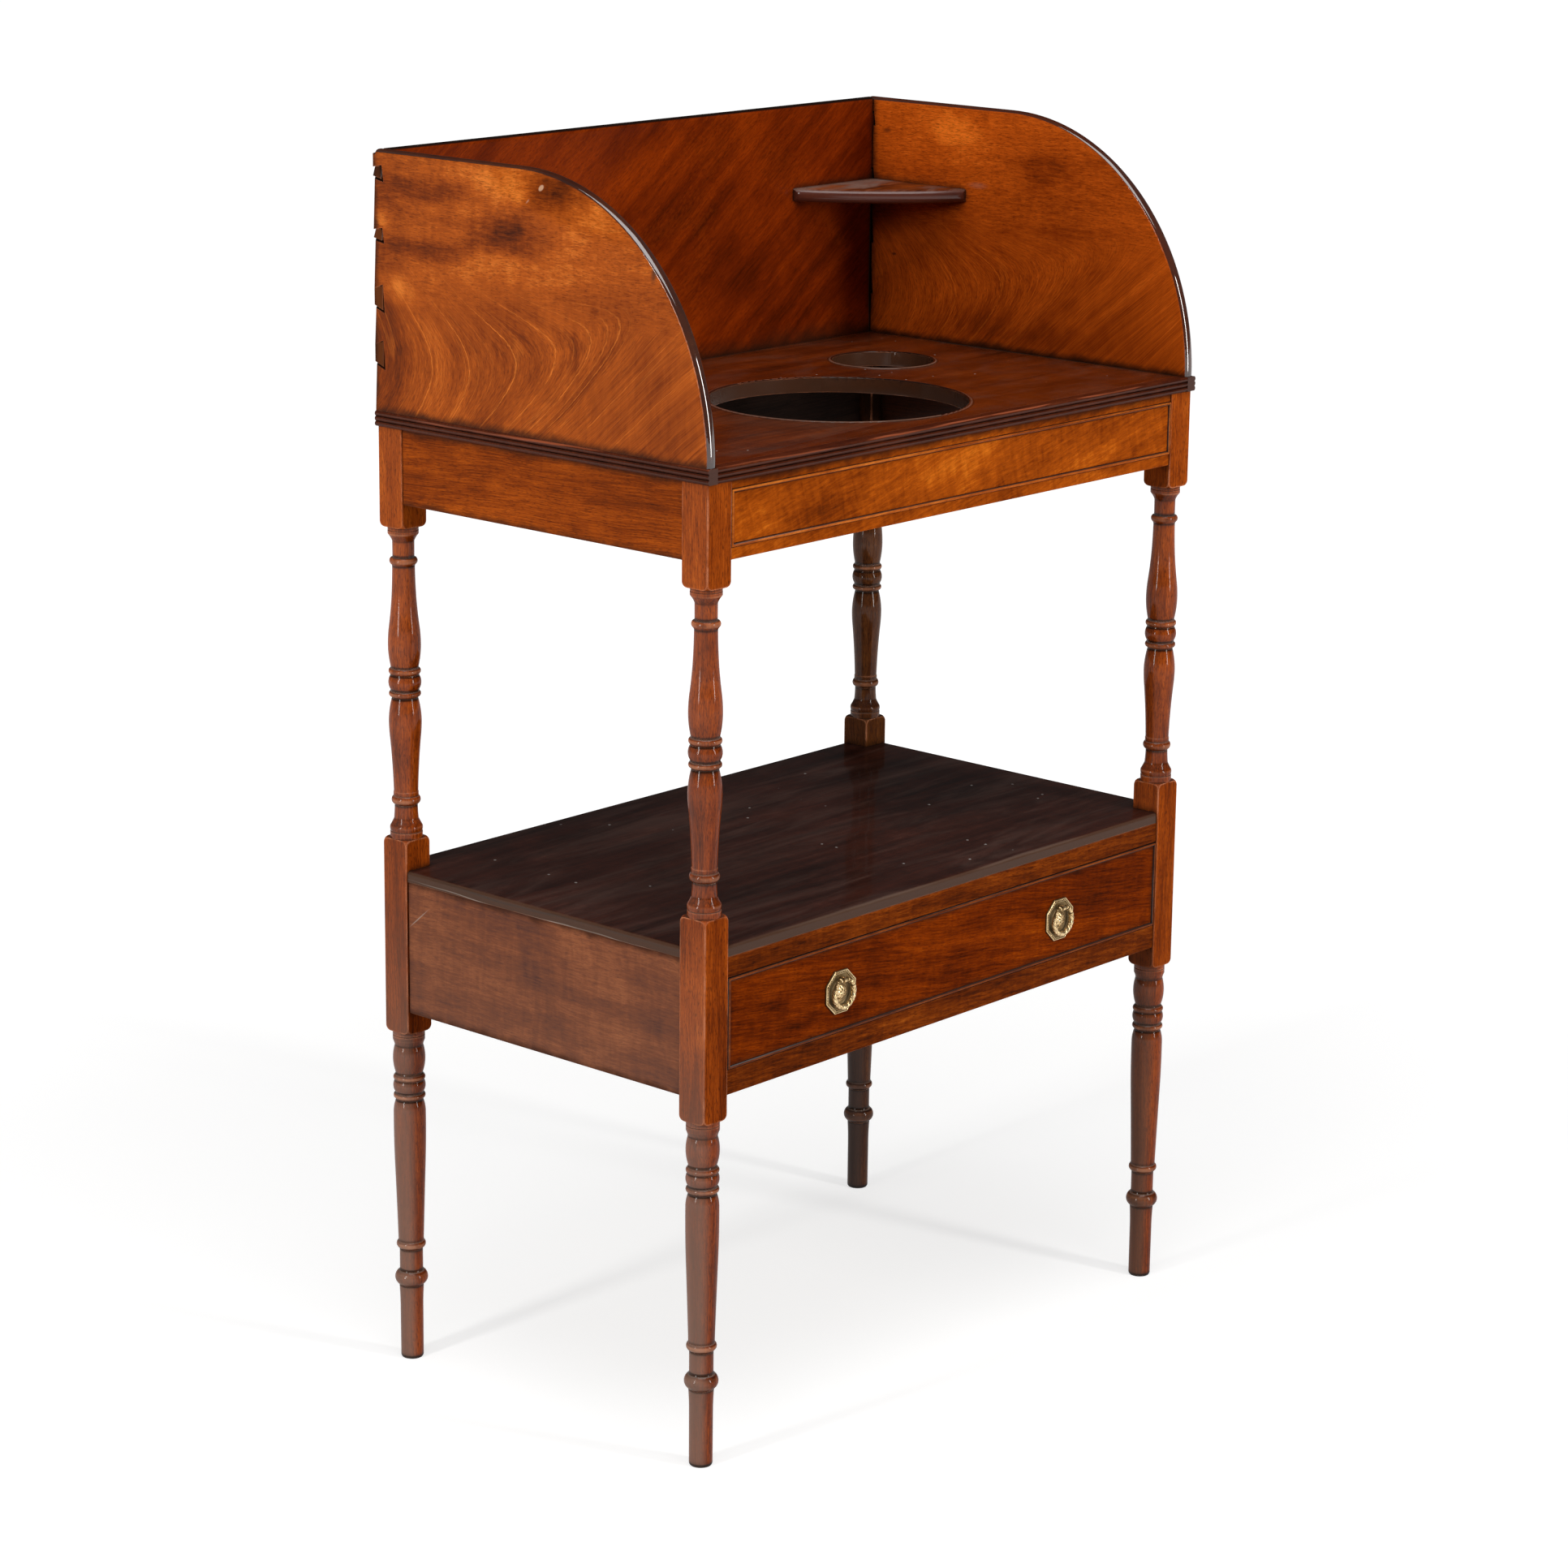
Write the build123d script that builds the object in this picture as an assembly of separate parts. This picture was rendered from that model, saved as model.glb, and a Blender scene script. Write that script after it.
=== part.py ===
from build123d import *
import os
from math import asin, cos, pi, sin, sqrt

os.makedirs("parts", exist_ok=True)

# A small four-post washstand with a drawer in its lower stage and a gallery round its top.
# Millimetres, +Z up, +X to the right, +Y to the back. The origin lies on the floor, at the
# middle of the whole footprint, from the gallery's back to the front of the ring pulls.

# Posts, each one turned and squared from a single length
width_over_posts = 593.0
depth_over_posts = 353.0
post_side = 26.5
leg_length = 285.0
lower_block_length = 163.0
support_length = 255.0
upper_block_length = 80.0
pommel_height = 4.5
post_pin_radius = 4.0
post_pin_length = 7.0
post_pin_hole_radius = 4.1
post_pin_hole_depth = 8.0

# Joints between boards and posts
tenon_length = 8.0
tenon_thickness = 6.0
tenon_shoulder = 4.0
tenon_inset = 8.0
mortise_end_gap = 1.0

# Top board, its reeded edge strips and its holes
top_thickness = 12.0
top_overhang = 2.5
edge_strip_width = 10.5
reed_depth = 1.3
reed_count = 3
basin_hole_radius = 105.0
basin_hole_y = -45.0
cup_hole_radius = 43.0
cup_hole_x = 174.5
cup_hole_y = 57.0
rim_bead_width = 3.0
rim_bead_height = 0.9

# Gallery
gallery_height = 205.0
gallery_thickness = 9.7
gallery_overhang = 1.0
gallery_curve_run = 195.0
gallery_front_setback = 1.0
gallery_edge_round = 1.6
gallery_corner_round = 4.0
gallery_dowel_radius = 2.5
gallery_dowel_hole_radius = 2.55
gallery_dowel_length = 16.0
dowel_end_gap = 0.5

# Corner shelves in the gallery
corner_shelf_reach = 105.0
corner_shelf_bow = 10.0
corner_shelf_toe = 5.0
corner_shelf_thickness = 11.5
corner_shelf_drop = 70.5
corner_shelf_nose = 5.0

# Frieze under the top
frieze_height = 60.0
frieze_front_thickness = 16.0
frieze_board_thickness = 12.0
frieze_back_height = 70.0
frieze_right_height = 66.0
frieze_setback = 1.0
frieze_panel_low_margin = 9.3
frieze_panel_high_margin = 6.5
glue_block_side = 11.0
glue_block_length = 36.0

# Cock beads of the frieze panel and the drawer front
bead_width = 3.0
bead_proud = 1.2
bead_rebate = 4.0
bead_nose_share = 0.48

# Lower stage
case_lift = 19.0
case_height = 110.5
shelf_thickness = 9.0
shelf_setback = 1.2
shelf_edge_round = 3.0
side_panel_thickness = 12.0
side_panel_setback = 2.0
back_panel_thickness = 10.0
rail_setback = 1.0
lower_rail_height = 20.0
lower_rail_depth = 36.0
upper_rail_height = 16.5
upper_rail_depth = 18.0
runner_height = 10.0
runner_inward = 15.0
guide_height = 12.0
stop_length = 30.0
stop_depth = 10.0
stop_height = 4.0
stop_x = 170.0
stop_gap = 0.2

# Drawer
drawer_side_gap = 0.6
drawer_height_gap = 0.3
drawer_front_thickness = 18.0
drawer_lap = 6.0
drawer_side_thickness = 8.0
drawer_back_thickness = 7.0
drawer_back_gap = 6.0
drawer_top_relief = 4.0
drawer_bottom_lift = 6.0
drawer_bottom_thickness = 5.0
drawer_groove_depth = 4.0
drawer_tail_count = 3

# Ring pulls
pull_x = 138.5
pull_drop = 3.2
plate_sides = 8
plate_across_flats = 35.0
plate_thickness = 1.6
plate_border = 2.4
plate_sink = 0.5
plate_edge_chamfer = 0.4
ring_radius = 11.4
ring_wire_radius = 2.3
ring_plate_gap = 0.5
ring_below_plate_mid = 0.5
lug_thickness = 3.2
lug_gap = 0.15
lug_radius = 2.3
hinge_pin_radius = 0.8
hinge_pin_play = 0.05
hinge_pin_length = 8.0
boss_radius = 6.4
boss_height = 2.6
boss_step_share = 0.3
boss_shank_radius = 2.0
boss_shank_hole_radius = 2.1
nut_across_flats = 8.0
nut_thickness = 3.0
shank_past_nut = 1.5

# Turned members from the bottom up: length, radius at the upper end, and radius half way up
# a curved member. The lengths are shares of the turned length, the radii of half a post side.
leg_toe_share = 0.63
leg_member_shares = (
    (0.0110, 0.705, 0.685),
    (0.2070, 0.740, None),
    (0.0120, 0.785, 0.755),
    (0.0400, 0.775, 0.995),
    (0.0070, 0.725, 0.735),
    (0.0600, 0.725, None),
    (0.0280, 0.790, 0.905),
    (0.3790, 0.990, 0.905),
    (0.0421, 0.845, 0.965),
    (0.0070, 0.880, None),
    (0.0210, 0.900, 0.975),
    (0.0351, 0.910, 0.998),
    (0.0246, 0.830, 0.980),
    (0.0877, 0.860, 0.995),
    (0.0105, 0.965, 0.890),
    (0.0280, 0.980, None),
)
support_foot_share = 0.980
support_member_shares = (
    (0.0353, 0.965, None),
    (0.0196, 0.715, 0.915),
    (0.0530, 0.705, None),
    (0.0333, 0.725, 0.865),
    (0.0941, 0.765, 0.730),
    (0.1412, 0.985, 0.880),
    (0.0725, 0.785, 0.930),
    (0.0275, 0.850, 0.960),
    (0.0490, 0.860, 0.985),
    (0.0216, 0.825, 0.950),
    (0.0706, 0.998, 0.938),
    (0.1255, 0.765, 0.920),
    (0.1176, 0.670, 0.715),
    (0.0373, 0.650, 0.835),
    (0.0471, 0.655, None),
    (0.0294, 0.950, 0.860),
    (0.0039, 0.920, None),
    (0.0215, 0.945, None),
)
arris_share = 1.385
pommel_share = 1.13

# Dovetails of the gallery's back corners: how far down each pin's middle is and its height
gallery_pin_shares = ((0.085, 0.052), (0.320, 0.048), (0.560, 0.098), (0.776, 0.102))
pin_taper_share = 0.35
tail_height_share = 0.64
tail_taper_share = 0.24
dowel_place_shares = (0.15, 0.5, 0.85)
glue_block_place_shares = (-0.62, 0.0, 0.62)

# Levels above the floor
lower_block_z = leg_length
support_z = lower_block_z + lower_block_length
upper_block_z = support_z + support_length
top_under_z = upper_block_z + upper_block_length
top_z = top_under_z + top_thickness
gallery_z = top_z + gallery_height
case_z = lower_block_z + case_lift
shelf_under_z = case_z + case_height
shelf_z = shelf_under_z + shelf_thickness
opening_low_z = case_z + lower_rail_height
opening_high_z = shelf_under_z - upper_rail_height
frieze_z = top_under_z - frieze_height
frieze_back_z = top_under_z - frieze_back_height
frieze_right_z = top_under_z - frieze_right_height

# Places across the stand. The shift puts the origin in the middle of the footprint.
ring_depth = plate_thickness + ring_plate_gap + ring_wire_radius
ring_reach = ring_depth + ring_wire_radius - rail_setback
footprint_shift = (ring_reach - gallery_overhang) / 2
outer_x = width_over_posts / 2
inner_x = outer_x - post_side
front_y = footprint_shift - depth_over_posts / 2
back_y = footprint_shift + depth_over_posts / 2
front_inner_y = front_y + post_side
back_inner_y = back_y - post_side
post_x = outer_x - post_side / 2
post_ys = {-1: front_y + post_side / 2, 1: back_y - post_side / 2}
gallery_outer_x = outer_x + gallery_overhang
gallery_inner_x = gallery_outer_x - gallery_thickness
gallery_back_y = back_y + gallery_overhang
gallery_inner_y = gallery_back_y - gallery_thickness
strip_outer_x = outer_x + top_overhang
strip_inner_x = strip_outer_x - edge_strip_width
strip_front_y = front_y - top_overhang
strip_inner_y = strip_front_y + edge_strip_width
drawer_x = inner_x - drawer_side_gap
drawer_low_z = opening_low_z + drawer_height_gap
drawer_high_z = opening_high_z - drawer_height_gap
pull_z = (drawer_low_z + drawer_high_z) / 2 - pull_drop
mortises = {(side, end): [] for side in (-1, 1) for end in (-1, 1)}
nodes = {}


def slab(x_a, x_b, y_a, y_b, z_a, z_b):
    """A box between two opposite corners."""
    box = Box(abs(x_b - x_a), abs(y_b - y_a), abs(z_b - z_a))
    return Pos((x_a + x_b) / 2, (y_a + y_b) / 2, (z_a + z_b) / 2) * box


def rod_along_x(x_a, x_b, y, z, radius):
    """A round bar along X."""
    bar = Cylinder(radius, abs(x_b - x_a), rotation=(0, 90, 0))
    return Pos((x_a + x_b) / 2, y, z) * bar


def rod_along_y(x, y_a, y_b, z, radius):
    """A round bar along Y."""
    bar = Cylinder(radius, abs(y_b - y_a), rotation=(90, 0, 0))
    return Pos(x, (y_a + y_b) / 2, z) * bar


def rod_along_z(x, y, z_a, z_b, radius):
    """A round bar along Z."""
    return Pos(x, y, (z_a + z_b) / 2) * Cylinder(radius, abs(z_b - z_a))


def spun(points_and_arcs):
    """A solid turned about Z from edges in the XZ plane."""
    return revolve(make_face(points_and_arcs), axis=Axis.Z)


def turned_length(z_low, length, start_share, member_shares):
    """A turned stretch of a post, from a table of its members."""
    half = post_side / 2
    total_share = sum(share for share, end, middle in member_shares)
    radius, z = start_share * half, z_low
    edges = [Line((0, 0, z), (radius, 0, z))]
    for share, end, middle in member_shares:
        z_end = z + length * share / total_share
        if middle is None:
            edges.append(Line((radius, 0, z), (end * half, 0, z_end)))
        else:
            waist = (middle * half, 0, (z + z_end) / 2)
            edges.append(ThreePointArc((radius, 0, z), waist, (end * half, 0, z_end)))
        radius, z = end * half, z_end
    edges.append(Line((radius, 0, z), (0, 0, z)))
    edges.append(Line((0, 0, z), (0, 0, z_low)))
    return spun(edges)


def square_block(z_low, z_high, rounded_above):
    """A squared stretch of a post, its arrises eased and its ends rounded to the turning."""
    arris = arris_share * post_side / 2
    end = pommel_share * post_side / 2
    bow = end + (arris - end) * sin(pi / 4)
    rise = pommel_height * (1 - cos(pi / 4))
    z_swell = z_low + pommel_height
    edges = [
        Line((0, 0, z_low), (end, 0, z_low)),
        ThreePointArc((end, 0, z_low), (bow, 0, z_low + rise), (arris, 0, z_swell)),
    ]
    if rounded_above:
        z_fall = z_high - pommel_height
        edges.append(Line((arris, 0, z_swell), (arris, 0, z_fall)))
        edges.append(ThreePointArc((arris, 0, z_fall), (bow, 0, z_high - rise), (end, 0, z_high)))
        edges.append(Line((end, 0, z_high), (0, 0, z_high)))
    else:
        edges.append(Line((arris, 0, z_swell), (arris, 0, z_high)))
        edges.append(Line((arris, 0, z_high), (0, 0, z_high)))
    edges.append(Line((0, 0, z_high), (0, 0, z_low)))
    prism = slab(-post_side / 2, post_side / 2, -post_side / 2, post_side / 2, z_low, z_high)
    return prism & spun(edges)


def post():
    """One post on the Z axis, from the floor to the pin in the top board."""
    leg = turned_length(0, leg_length, leg_toe_share, leg_member_shares)
    lower_block = square_block(lower_block_z, support_z, True)
    support = turned_length(support_z, support_length, support_foot_share, support_member_shares)
    upper_block = square_block(upper_block_z, top_under_z, False)
    pin = rod_along_z(0, 0, top_under_z, top_under_z + post_pin_length, post_pin_radius)
    return leg + lower_block + support + upper_block + pin


def board_along_x(end, y_outer, depth, z_low, z_high):
    """A board between the two front or the two back posts, tenoned into them."""
    y_inner = y_outer - end * depth
    y_tenon = y_outer - end * tenon_inset
    board = slab(-inner_x, inner_x, y_outer, y_inner, z_low, z_high)
    tenon_spans = (y_tenon - tenon_thickness / 2, y_tenon + tenon_thickness / 2,
                   z_low + tenon_shoulder, z_high - tenon_shoulder)
    for side in (-1, 1):
        root, tip = side * inner_x, side * (inner_x + tenon_length)
        board += slab(root, tip, *tenon_spans)
        mortises[(side, end)].append(slab(root, tip + side * mortise_end_gap, *tenon_spans))
    return board


def board_along_y(side, setback, thickness, z_low, z_high):
    """A board between the front and back posts of one side, tenoned into them."""
    x_outer = side * (outer_x - setback)
    x_inner = x_outer - side * thickness
    x_mid = (x_outer + x_inner) / 2
    board = slab(x_outer, x_inner, front_inner_y, back_inner_y, z_low, z_high)
    for end, root in ((-1, front_inner_y), (1, back_inner_y)):
        tip = root + end * tenon_length
        spans = (x_mid - tenon_thickness / 2, x_mid + tenon_thickness / 2)
        levels = (z_low + tenon_shoulder, z_high - tenon_shoulder)
        board += slab(*spans, root, tip, *levels)
        mortises[(side, end)].append(slab(*spans, root, tip + end * mortise_end_gap, *levels))
    return board


def bead_frame(x_low, x_high, z_low, z_high, y_face):
    """Four mitred cock beads round a panel, and the rebate that holds them."""
    y_nose = y_face - bead_proud
    y_heel = y_face + bead_rebate
    w = bead_width
    outline = [(x_low, z_low), (x_high, z_low), (x_high, z_high), (x_low, z_high)]
    inner = [(x_low + w, z_low + w), (x_high - w, z_low + w),
             (x_high - w, z_high - w), (x_low + w, z_high - w)]
    strips = []
    for i in range(len(outline)):
        j = (i + 1) % len(outline)
        corners = [outline[i], outline[j], inner[j], inner[i]]
        ring = Polyline([(x, y_heel, z) for x, z in corners], close=True)
        mitred = extrude(make_face(ring), amount=y_heel - y_nose, dir=(0, -1, 0))
        xs, zs = [x for x, z in corners], [z for x, z in corners]
        bar = slab(min(xs), max(xs), y_nose, y_heel, min(zs), max(zs))
        along = Axis.X if outline[i][1] == outline[j][1] else Axis.Z
        nose_edges = bar.edges().filter_by(along).group_by(Axis.Y)[0]
        strips.append(fillet(nose_edges, bead_width * bead_nose_share) & mitred)
    rebate = slab(x_low, x_high, y_face, y_heel, z_low, z_high)
    rebate -= slab(x_low + w, x_high - w, y_face, y_heel, z_low + w, z_high - w)
    return strips, rebate


def dovetail(x_a, x_b, y_root, y_tip, z_mid, root_height, tip_height):
    """A dovetail across a board: its height changes from its root to its tip."""
    corners = [(x_a, y_root, z_mid - root_height / 2), (x_a, y_tip, z_mid - tip_height / 2),
               (x_a, y_tip, z_mid + tip_height / 2), (x_a, y_root, z_mid + root_height / 2)]
    face = make_face(Polyline(corners, close=True))
    return extrude(face, amount=abs(x_b - x_a), dir=(1 if x_b > x_a else -1, 0, 0))


def reeded_section():
    """Section of the edge strips: flat inside, three reeds outside. Outer face at 0."""
    reed_height = top_thickness / reed_count
    edges = []
    for i in range(reed_count):
        low, high = i * reed_height, (i + 1) * reed_height
        edges.append(ThreePointArc((-reed_depth, low), (0, (low + high) / 2), (-reed_depth, high)))
    edges.append(Line((-reed_depth, top_thickness), (-edge_strip_width, top_thickness)))
    edges.append(Line((-edge_strip_width, top_thickness), (-edge_strip_width, 0)))
    edges.append(Line((-edge_strip_width, 0), (-reed_depth, 0)))
    return make_face(edges)


def make_top():
    """The top board with its holes, and the reeded strips on its front and side edges."""
    board = slab(-strip_inner_x, strip_inner_x, strip_inner_y, gallery_back_y, top_under_z, top_z)
    holes = [(0, basin_hole_y, basin_hole_radius)]
    holes += [(side * cup_hole_x, cup_hole_y, cup_hole_radius) for side in (-1, 1)]
    for x, y, radius in holes:
        place = Pos(x, y + footprint_shift, 0)
        far = radius + rim_bead_width
        crown = (radius + rim_bead_width / 2, 0, top_z + rim_bead_height)
        bead = spun([
            Line((radius, 0, top_z), (far, 0, top_z)),
            ThreePointArc((far, 0, top_z), crown, (radius, 0, top_z)),
        ])
        board += place * bead
        board -= place * rod_along_z(0, 0, top_under_z, top_z + rim_bead_height, radius)
    for side in (-1, 1):
        for y in post_ys.values():
            hole_top = top_under_z + post_pin_hole_depth
            board -= rod_along_z(side * post_x, y, top_under_z, hole_top, post_pin_hole_radius)
    section = reeded_section()
    right = Plane((strip_outer_x, strip_front_y, top_under_z), x_dir=(1, 0, 0), z_dir=(0, -1, 0))
    right_strip = extrude(right * section, amount=-(gallery_back_y - strip_front_y))
    front = Plane((-strip_inner_x, strip_front_y, top_under_z), x_dir=(0, -1, 0), z_dir=(-1, 0, 0))
    nodes["top_board"] = board
    nodes["top_strip_front"] = extrude(front * section, amount=-2 * strip_inner_x)
    nodes["top_strip_right"] = right_strip
    nodes["top_strip_left"] = mirror(right_strip, about=Plane.YZ)


def gallery_pins(side):
    """The pins of the gallery back that pass through one side board."""
    pins = []
    for drop, height in gallery_pin_shares:
        z_mid = gallery_z - drop * gallery_height
        root = height * gallery_height
        tip = root * (1 - pin_taper_share)
        pins.append(dovetail(side * gallery_inner_x, side * gallery_outer_x,
                             gallery_inner_y, gallery_back_y, z_mid, root, tip))
    return pins


def gallery_side(side):
    """A side board of the gallery: level at the back, then a quarter of an ellipse."""
    front = strip_front_y + gallery_front_setback
    curve_y = front + gallery_curve_run
    outline = make_face([
        Line((front, top_z), (gallery_back_y, top_z)),
        Line((gallery_back_y, top_z), (gallery_back_y, gallery_z)),
        Line((gallery_back_y, gallery_z), (curve_y, gallery_z)),
        EllipticalCenterArc((curve_y, top_z), gallery_curve_run, gallery_height,
                            start_angle=90, arc_size=90),
    ])
    low_x = min(side * gallery_inner_x, side * gallery_outer_x)
    board = extrude(Plane.YZ.offset(low_x) * outline, amount=gallery_thickness)
    rims = [edge for edge in board.edges()
            if edge.center().Z > top_z + gallery_thickness
            and abs(edge.tangent_at(0).X) < 1 / 2
            and edge.center().Y < gallery_back_y - gallery_thickness]
    board = fillet(rims, gallery_edge_round)
    r = gallery_corner_round
    z_round, y_round = gallery_z - r, gallery_back_y - r
    x_span = (side * gallery_inner_x, side * gallery_outer_x)
    corner = slab(*x_span, y_round, gallery_back_y, z_round, gallery_z)
    board -= corner - rod_along_x(*x_span, y_round, z_round, r)
    return board - gallery_pins(side)


def gallery_dowel_places():
    """Plan positions of the dowels under the gallery boards."""
    front = strip_front_y + gallery_front_setback
    length = gallery_back_y - front
    side_x = gallery_outer_x - gallery_thickness / 2
    places = [(side * side_x, front + share * length)
              for side in (-1, 1) for share in dowel_place_shares]
    places += [(gallery_inner_x * (2 * share - 1), gallery_back_y - gallery_thickness / 2)
               for share in dowel_place_shares]
    return places


def make_gallery():
    """Two side boards dovetailed to a back board, dowelled to the top."""
    back = slab(-gallery_inner_x, gallery_inner_x, gallery_inner_y, gallery_back_y, top_z, gallery_z)
    back = fillet(back.edges().filter_by(Axis.X).group_by(Axis.Z)[-1], gallery_edge_round)
    for side in (-1, 1):
        for pin in gallery_pins(side):
            back += pin
    nodes["gallery_back"] = back
    nodes["gallery_side_left"] = gallery_side(-1)
    nodes["gallery_side_right"] = gallery_side(1)
    half = gallery_dowel_length / 2
    reach = half + dowel_end_gap
    dowels = []
    for x, y in gallery_dowel_places():
        dowels.append(rod_along_z(x, y, top_z - half, top_z + half, gallery_dowel_radius))
        hole = rod_along_z(x, y, top_z - reach, top_z + reach, gallery_dowel_hole_radius)
        if y > gallery_inner_y:
            drilled = ("gallery_back", "top_board")
        elif x < 0:
            drilled = ("gallery_side_left", "top_strip_left", "top_board")
        else:
            drilled = ("gallery_side_right", "top_strip_right", "top_board")
        for node in drilled:
            nodes[node] -= hole
    nodes["gallery_dowels"] = Compound(dowels)


def corner_shelf(side):
    """A bow-fronted shelf in one back corner of the gallery."""
    reach, toe = corner_shelf_reach, corner_shelf_toe
    middle = (reach + toe) / 2 + corner_shelf_bow * sin(pi / 4)
    plan = make_face([
        Line((0, 0), (0, -reach)),
        Line((0, -reach), (toe, -reach)),
        ThreePointArc((toe, -reach), (middle, -middle), (reach, -toe)),
        Line((reach, -toe), (reach, 0)),
        Line((reach, 0), (0, 0)),
    ])
    shelf = extrude(plan, amount=corner_shelf_thickness)
    nose = shelf.edges().filter_by(GeomType.CIRCLE)
    shelf = fillet(nose, corner_shelf_nose)
    if side > 0:
        shelf = mirror(shelf, about=Plane.YZ)
    z_low = gallery_z - corner_shelf_drop - corner_shelf_thickness
    return Pos(side * gallery_inner_x, gallery_inner_y, z_low) * shelf


def glue_block(x, y, turn):
    """A three-cornered block in the angle between the frieze and the top board."""
    w, half = glue_block_side, glue_block_length / 2
    corners = [(-half, 0, 0), (-half, w, 0), (-half, 0, -w)]
    block = extrude(make_face(Polyline(corners, close=True)), amount=glue_block_length, dir=(1, 0, 0))
    return Pos(x, y, top_under_z) * Rot(0, 0, turn) * block


def make_frieze():
    """The boards between the posts under the top, with a beaded panel in front."""
    face_y = front_y + frieze_setback
    front = board_along_x(-1, face_y, frieze_front_thickness, frieze_z, top_under_z)
    beads, rebate = bead_frame(-inner_x, inner_x, frieze_z + frieze_panel_low_margin,
                               top_under_z - frieze_panel_high_margin, face_y)
    nodes["frieze_front"] = front - rebate
    nodes["frieze_beads"] = Compound(beads)
    nodes["frieze_back"] = board_along_x(1, back_y - frieze_setback, frieze_board_thickness,
                                         frieze_back_z, top_under_z)
    nodes["frieze_side_left"] = board_along_y(-1, frieze_setback, frieze_board_thickness,
                                              frieze_z, top_under_z)
    nodes["frieze_side_right"] = board_along_y(1, frieze_setback, frieze_board_thickness,
                                               frieze_right_z, top_under_z)
    front_face = face_y + frieze_front_thickness
    back_face = back_y - frieze_setback - frieze_board_thickness
    side_face = outer_x - frieze_setback - frieze_board_thickness
    blocks = []
    for share in glue_block_place_shares:
        blocks.append(glue_block(share * inner_x, front_face, 0))
        blocks.append(glue_block(share * inner_x, back_face, 180))
        y = footprint_shift + share * (back_inner_y - front_inner_y) / 2
        blocks.append(glue_block(-side_face, y, -90))
        blocks.append(glue_block(side_face, y, 90))
    nodes["glue_blocks"] = Compound(blocks)


def make_shelf():
    """The board over the drawer, notched round the four posts, its edges rounded above."""
    wide_x = outer_x - shelf_setback
    deep_low, deep_high = front_y + shelf_setback, back_y - shelf_setback
    shelf = slab(-wide_x, wide_x, front_inner_y, back_inner_y, shelf_under_z, shelf_z)
    shelf += slab(-inner_x, inner_x, deep_low, deep_high, shelf_under_z, shelf_z)
    near = shelf_setback / 2
    rims = [edge for edge in shelf.edges().group_by(Axis.Z)[-1]
            if abs(abs(edge.center().X) - wide_x) < near
            or abs(edge.center().Y - deep_low) < near
            or abs(edge.center().Y - deep_high) < near]
    nodes["shelf_board"] = fillet(rims, shelf_edge_round)


def make_case():
    """Panels, rails and drawer supports of the lower stage."""
    rail_y = front_y + rail_setback
    nodes["drawer_rail_lower"] = board_along_x(-1, rail_y, lower_rail_depth, case_z, opening_low_z)
    nodes["drawer_rail_upper"] = board_along_x(-1, rail_y, upper_rail_depth,
                                               opening_high_z, shelf_under_z)
    nodes["case_back"] = board_along_x(1, back_y - rail_setback, back_panel_thickness,
                                       case_z, shelf_under_z)
    rail_back_y = rail_y + lower_rail_depth
    panel_x = outer_x - side_panel_setback - side_panel_thickness
    stops = []
    for side, name in ((-1, "left"), (1, "right")):
        nodes["case_side_" + name] = board_along_y(side, side_panel_setback, side_panel_thickness,
                                                   case_z, shelf_under_z)
        runner_x = (side * panel_x, side * (inner_x - runner_inward))
        guide_x = (side * panel_x, side * inner_x)
        nodes["drawer_runner_" + name] = slab(*runner_x, rail_back_y, back_inner_y,
                                              opening_low_z - runner_height, opening_low_z)
        nodes["drawer_guide_" + name] = slab(*guide_x, front_inner_y, back_inner_y,
                                             opening_low_z, opening_low_z + guide_height)
        nodes["drawer_kicker_" + name] = slab(*runner_x, front_inner_y, back_inner_y,
                                              opening_high_z, shelf_under_z)
        stop_y = rail_y + drawer_front_thickness + stop_gap
        stops.append(slab(side * stop_x - stop_length / 2, side * stop_x + stop_length / 2,
                          stop_y, stop_y + stop_depth,
                          opening_low_z, opening_low_z + stop_height))
    nodes["drawer_stops"] = Compound(stops)


def drawer_tails(side, y_root, y_tip, z_a, z_b):
    """The dovetails on one end of a drawer side."""
    pitch = (z_b - z_a) / drawer_tail_count
    x_outer = side * drawer_x
    x_inner = x_outer - side * drawer_side_thickness
    root = pitch * (tail_height_share - tail_taper_share)
    return [dovetail(x_outer, x_inner, y_root, y_tip, z_a + (i + 1 / 2) * pitch,
                     root, pitch * tail_height_share) for i in range(drawer_tail_count)]


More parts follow.
